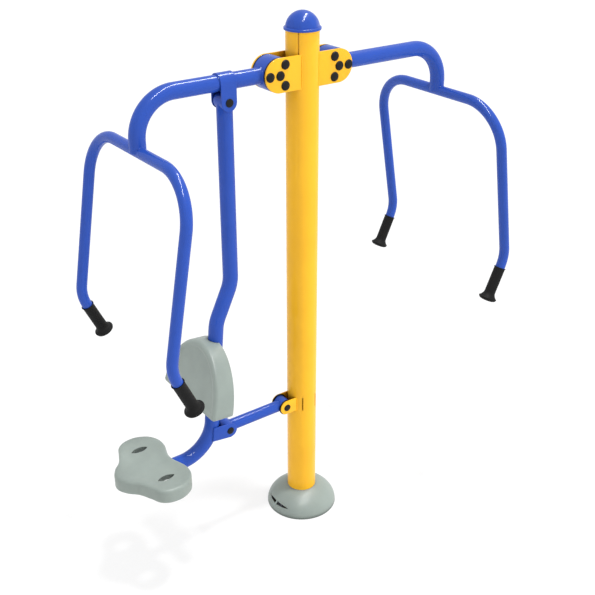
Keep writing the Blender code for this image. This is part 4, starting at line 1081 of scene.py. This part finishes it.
def build_backrest():
    """A D-shaped shell with a rolled rim round a shallow dished front, open at its rear."""
    leaning_up = Vector((sin(BACK_RECLINE), 0.0, cos(BACK_RECLINE)))
    to_front = Vector((-cos(BACK_RECLINE), 0.0, sin(BACK_RECLINE)))
    foot = Vector((hanger_x_at(BACK_FOOT_Z) - BACK_AHEAD, 0.0, BACK_FOOT_Z))
    face = frame_at(foot, leaning_up, to_front)
    slope = tan(BACK_RECLINE - HANGER_RECLINE)

    def ring_at(inset, level, thinning=0.0):
        outline = [(x, y, level + thinning * y / BACK_TALL) for x, y in back_outline(inset)]
        return [(x, y - z * slope, z) for x, y, z in outline]

    rings = [ring_at(BACK_DISH_IN, -BACK_DISH)]
    for share in spread(0.0, 1.0, ROLL_STEPS):
        inset = BACK_SLOPE_IN + (BACK_SLOPE_OUT - BACK_SLOPE_IN) * share
        rings.append(ring_at(inset, -BACK_DISH * (1 + cos(pi * share)) / 2))
    rings += [ring_at(inset, -deep) for inset, deep in quarter(BACK_EDGE_R, BACK_ROLL_STEPS)[::-1]]
    rear = quarter(BACK_REAR_R, FOOT_STEPS)
    rear += [(BACK_WALL - SHELL_FOOT_EDGE, 0.0), (BACK_WALL, SHELL_FOOT_EDGE)]
    rings += [ring_at(inset, -BACK_THICK + rise, BACK_THINNING) for inset, rise in rear]
    rings.append(ring_at(BACK_WALL, -BACK_WALL - BACK_INNER_EDGE))
    rings.append(ring_at(BACK_WALL + BACK_INNER_EDGE, -BACK_WALL))
    middle = Vector((hanger_x_at(MOUNT_BACK_Z), 0.0, MOUNT_BACK_Z))
    tube_up = Vector((sin(HANGER_RECLINE), 0.0, cos(HANGER_RECLINE)))
    tube_front = Vector((-cos(HANGER_RECLINE), 0.0, sin(HANGER_RECLINE)))
    shell = carved(moved(loft(rings), face), [tube_channel(BACK_TALL, frame_at(middle, BACK, tube_up))])
    inward = face.inverted()

    def reach_of(place):
        start = inward @ place
        step = inward.to_3x3() @ tube_front
        return (-BACK_WALL - start.z) / step.z

    bosses = mount_pieces("back", frame_at(middle + tube_front * ARM_R, tube_up, tube_front), reach_of)
    piece("backrest", "seat_carrier", "grey_plastic", shell, *bosses)


def smooth_outline(points):
    """Points of a smooth closed curve through the given ones."""
    curve = bpy.data.curves.new("outline", "CURVE")
    curve.dimensions = "3D"
    spline = curve.splines.new("BEZIER")
    spline.bezier_points.add(len(points) - 1)
    for point, (x, y) in zip(spline.bezier_points, points):
        point.co = (x, y, 0.0)
        point.handle_left_type = "AUTO"
        point.handle_right_type = "AUTO"
    spline.resolution_u = OUTLINE_STEPS
    spline.use_cyclic_u = True
    guide = placed("outline", curve)
    result = [vert.co.xy.copy() for vert in evaluated(guide).vertices]
    bpy.data.objects.remove(guide)
    bpy.data.curves.remove(curve)
    return result


def inset_outline(points, inset):
    """The same closed outline moved in by an inset."""
    result = []
    for before, place, after in zip([points[-1], *points], points, [*points[1:], points[0]]):
        along = (after - before).normalized()
        result.append(place + Vector((-along.y, along.x)) * inset)
    return result


def lens(long, wide):
    """A pointed oval outline along X."""
    shares = spread(1.0, -1.0, LENS_STEPS)[:-1]
    top = [(long / 2 * t, wide / 2 * (1 - abs(t) ** SEAT_LENS_POWER)) for t in shares]
    return top + [(-x, -y) for x, y in top]


def dished(outline, inset, level):
    """Rings from an inset outline to the seat's middle, that sink into a shallow dish."""
    edge = inset_outline(outline, inset)
    rings = []
    for i in range(1, SEAT_DISH_RINGS + 1):
        share = 1 - SEAT_RING_SHARE * i
        sunk = SEAT_DISH * (1 - cos(pi * min(1.0, (1 - share) / SEAT_DISH_SHARE))) / 2
        rings.append([(p.x * share, p.y * share, level - sunk) for p in edge])
    return rings


def build_seat():
    """A moulded seat shell with three lobes, open below, with two drain holes."""
    near = [(SEAT_LENGTH * (1 / 2 - along), SEAT_WIDTH / 2 * across) for along, across in SEAT_OUTLINE_SHARES]
    outline = smooth_outline(near + [(x, -y) for x, y in near[-2:0:-1]])
    levels = [(inset, -deep) for inset, deep in quarter(SEAT_EDGE_R, ROLL_STEPS)[::-1]]
    levels += [(inset, rise - SEAT_TALL) for inset, rise in quarter(SEAT_FOOT_R, FOOT_STEPS)]
    levels += [(SEAT_WALL - SHELL_FOOT_EDGE, -SEAT_TALL), (SEAT_WALL, SHELL_FOOT_EDGE - SEAT_TALL),
               (SEAT_WALL, -SEAT_WALL - SEAT_INNER_EDGE), (SEAT_WALL + SEAT_INNER_EDGE, -SEAT_WALL)]
    rings = dished(outline, SEAT_EDGE_R, 0.0)[::-1]
    rings += [[(p.x, p.y, z) for p in inset_outline(outline, inset)] for inset, z in levels]
    rings += dished(outline, SEAT_WALL + SEAT_INNER_EDGE, -SEAT_WALL)
    tools = [tube_channel(SEAT_LENGTH / 2, frame_at(Vector((SEAT_REAR_X, 0.0, HANGER_FOOT_Z)), UP, RIGHT))]
    sleeves = []
    for side in (-1, 1):
        place = Vector((SEAT_REAR_X - SEAT_HOLE_SETBACK, side * SEAT_HOLE_Y, SEAT_TOP))
        hole = plate(lens(SEAT_HOLE_LONG, SEAT_HOLE_WIDE), SEAT_TALL, Matrix.Translation(place), CUT_EDGE)
        around = lens(SEAT_HOLE_LONG + 3 * SEAT_SLEEVE_WALL, SEAT_HOLE_WIDE + 2 * SEAT_SLEEVE_WALL)
        deep = Matrix.Translation(place - UP * (SEAT_DISH + SEAT_WALL / 2 + SEAT_SLEEVE_DEEP / 2))
        sleeves.append(carved(plate(around, SEAT_SLEEVE_DEEP, deep, SEAT_SLEEVE_EDGE), [hole.copy()]))
        tools.append(hole)
    middle = Matrix.Translation((SEAT_REAR_X - SEAT_LENGTH / 2, 0.0, SEAT_TOP))
    shell = carved(moved(loft(rings), middle), tools)
    on_tube = Vector((MOUNT_SEAT_X, 0.0, HANGER_FOOT_Z + ARM_R))

    def reach_of(place):
        return SEAT_TOP - SEAT_DISH - SEAT_WALL / 2 - place.z

    bosses = mount_pieces("seat", frame_at(on_tube, RIGHT, UP), reach_of)
    piece("seat", "seat_carrier", "grey_plastic", shell, *sleeves, *bosses)


# Lower link


def build_link():
    near_post = Vector((LINK_POST_X, 0.0, LINK_Z))
    near_seat = Vector((LINK_SEAT_X, 0.0, LINK_Z))
    crossing = saddle(PIVOT_BARREL_R, UP)
    piece("lower_link", "link", "blue_paint",
          tube([near_post, near_seat], LINK_R, LINK_WALL, crossing, crossing),
          barrel_shape(POST_BARREL_HALF, near_post),
          saddle_weld(near_post, LINK_R, PIVOT_BARREL_R, -RIGHT, UP),
          barrel_shape(PIVOT_BARREL_HALF, near_seat),
          saddle_weld(near_seat, LINK_R, PIVOT_BARREL_R, RIGHT, UP))
    add_bushes("link_post", "link", near_post, RUN, POST_BARREL_HALF, PIVOT_PLATE_R + POST_FLANGE_OVER)
    add_bushes("link_seat", "link", near_seat, OPEN_PIVOT_PLAY, PIVOT_BARREL_HALF, PIVOT_BARREL_R)
    x = -sqrt(POST_R ** 2 - PIVOT_PLATE_FACE ** 2)
    half = PIVOT_PLATE_R - PLATE_WELD_SHORT
    for face, name in FACE_NAMES:
        place = across_post(near_post + BACK * face * PIVOT_PLATE_MIDDLE)
        sheet = plate(tongue(PIVOT_PLATE_R, -LINK_POST_X), PIVOT_PLATE_THICK, place, cope_side=-1)
        bead = weld([(x, face * PIVOT_PLATE_FACE, LINK_Z + z) for z in (-half, half)])
        piece(f"link_plate_{name}", "post", "yellow_paint", sheet, bead)
    add_bolt("link_post_bolt", "post", near_post, PIVOT_BOLT)


def dress_cad_nodes():
    """Gives the CAD nodes that stay in view their detailed materials."""
    finishes = {"base_plate": galvanised, "anchor_bolt": galvanised, "bearing": ground_steel}
    for name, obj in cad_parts.items():
        for part, material in finishes.items():
            if part in name:
                for slot in obj.material_slots:
                    slot.material = material


# Studio


def aimed(obj, place, target):
    obj.location = place
    obj.rotation_euler = (Vector(target) - Vector(place)).to_track_quat("-Z", "Y").to_euler()


def add_sun(name, strength, azimuth, elevation, angle):
    """A distant lamp that shines from an azimuth, counted from +X to +Y, and an elevation. It isn't seen in
    reflections."""
    light = bpy.data.lights.new(name, "SUN")
    light.energy = strength
    light.angle = radians(angle)
    obj = placed(name, light)
    turn = radians(azimuth)
    rise = radians(elevation)
    place = [SUN_AWAY * way for way in (cos(rise) * cos(turn), cos(rise) * sin(turn), sin(rise))]
    aimed(obj, place, (0.0, 0.0, 0.0))
    obj.visible_glossy = False


def add_strip(name, power, size, location, turn):
    """A long softbox overhead, seen in reflections alone: the narrow lights on glossy paint."""
    light = bpy.data.lights.new(name, "AREA")
    light.shape = "RECTANGLE"
    light.size, light.size_y = size
    light.energy = power
    obj = placed(name, light)
    obj.location = location
    obj.rotation_euler = (0.0, 0.0, radians(turn))
    obj.visible_diffuse = False
    obj.visible_camera = False


def seen_white(tree):
    """One for the rays that show the background: camera, glossy and transmission rays."""
    path = tree.nodes.new("ShaderNodeLightPath")
    seen = path.outputs["Is Camera Ray"]
    for other in ("Is Glossy Ray", "Is Transmission Ray"):
        either = tree.nodes.new("ShaderNodeMath")
        either.operation = "MAXIMUM"
        tree.links.new(seen, either.inputs[0])
        tree.links.new(path.outputs[other], either.inputs[1])
        seen = either.outputs[0]
    return seen


def surface_from(tree, output, factor, first, second):
    """Ends a tree with its first shader, changed to the second by a factor."""
    mix = tree.nodes.new("ShaderNodeMixShader")
    tree.links.new(factor, mix.inputs["Fac"])
    tree.links.new(first.outputs[0], mix.inputs[1])
    tree.links.new(second.outputs[0], mix.inputs[2])
    tree.links.new(mix.outputs[0], tree.nodes[output].inputs["Surface"])


def build_world():
    """Even light for the object, in front of a white background."""
    world = bpy.data.worlds.new("studio")
    bpy.context.scene.world = world
    world.use_nodes = True
    tree = world.node_tree
    soft = tree.nodes["Background"]
    white = tree.nodes.new("ShaderNodeBackground")
    for node, strength in ((soft, AMBIENT), (white, 1.0)):
        wired(tree, node, "Background", Color=(1.0, 1.0, 1.0), Strength=strength)
    surface_from(tree, "World Output", seen_white(tree), soft, white)


def build_floor():
    """A white floor that keeps a faint shadow, because most of its white doesn't depend on the lamps."""
    bm = bmesh.new()
    bmesh.ops.create_circle(bm, cap_ends=True, segments=SIDES, radius=FLOOR_R)
    mesh = mesh_of(bm)
    floor = placed("floor", mesh)
    floor.location.z = -FLOOR_DROP
    material, matt = new_material("floor", FLOOR_WHITE, 1.0, Specular_IOR_Level=0.0)
    tree = material.node_tree
    shade = mixed(tree, seen_white(tree), FLOOR_SHADE, FLOOR_WHITE)
    tree.links.new(shade, matt.inputs["Base Color"])
    glow = tree.nodes.new("ShaderNodeEmission")
    factor = span(tree, seen_white(tree), 0.0, FLOOR_GLOW_SHARE, 0.0, 1.0)
    surface_from(tree, "Material Output", factor, matt, glow)
    mesh.materials.append(material)


def add_camera():
    camera = bpy.data.cameras.new("camera")
    camera.lens = CAMERA_LENS
    camera.sensor_width = CAMERA_SENSOR
    camera.sensor_fit = "HORIZONTAL"
    camera.clip_end = CAMERA_FAR
    obj = placed("camera", camera)
    aimed(obj, CAMERA_PLACE, CAMERA_TARGET)
    bpy.context.scene.camera = obj


build_post()
build_post_cap()
build_cover()
for side, name in SIDE_NAMES:
    build_hub_frame(side, name)
    build_drum(side, name)
    build_arm(side, name)
build_strap()
build_carrier()
build_link()
dress_cad_nodes()
build_world()
build_floor()
add_sun("above", 1.48, -43, 77, 6)
add_sun("beside", 1.07, -46, 13, 8)
add_strip("strip", 1160.0, (10.0, 0.8), (0.9, -1.12, 8.2), 44.0)
add_camera()
bpy.context.scene.view_settings.view_transform = "Standard"
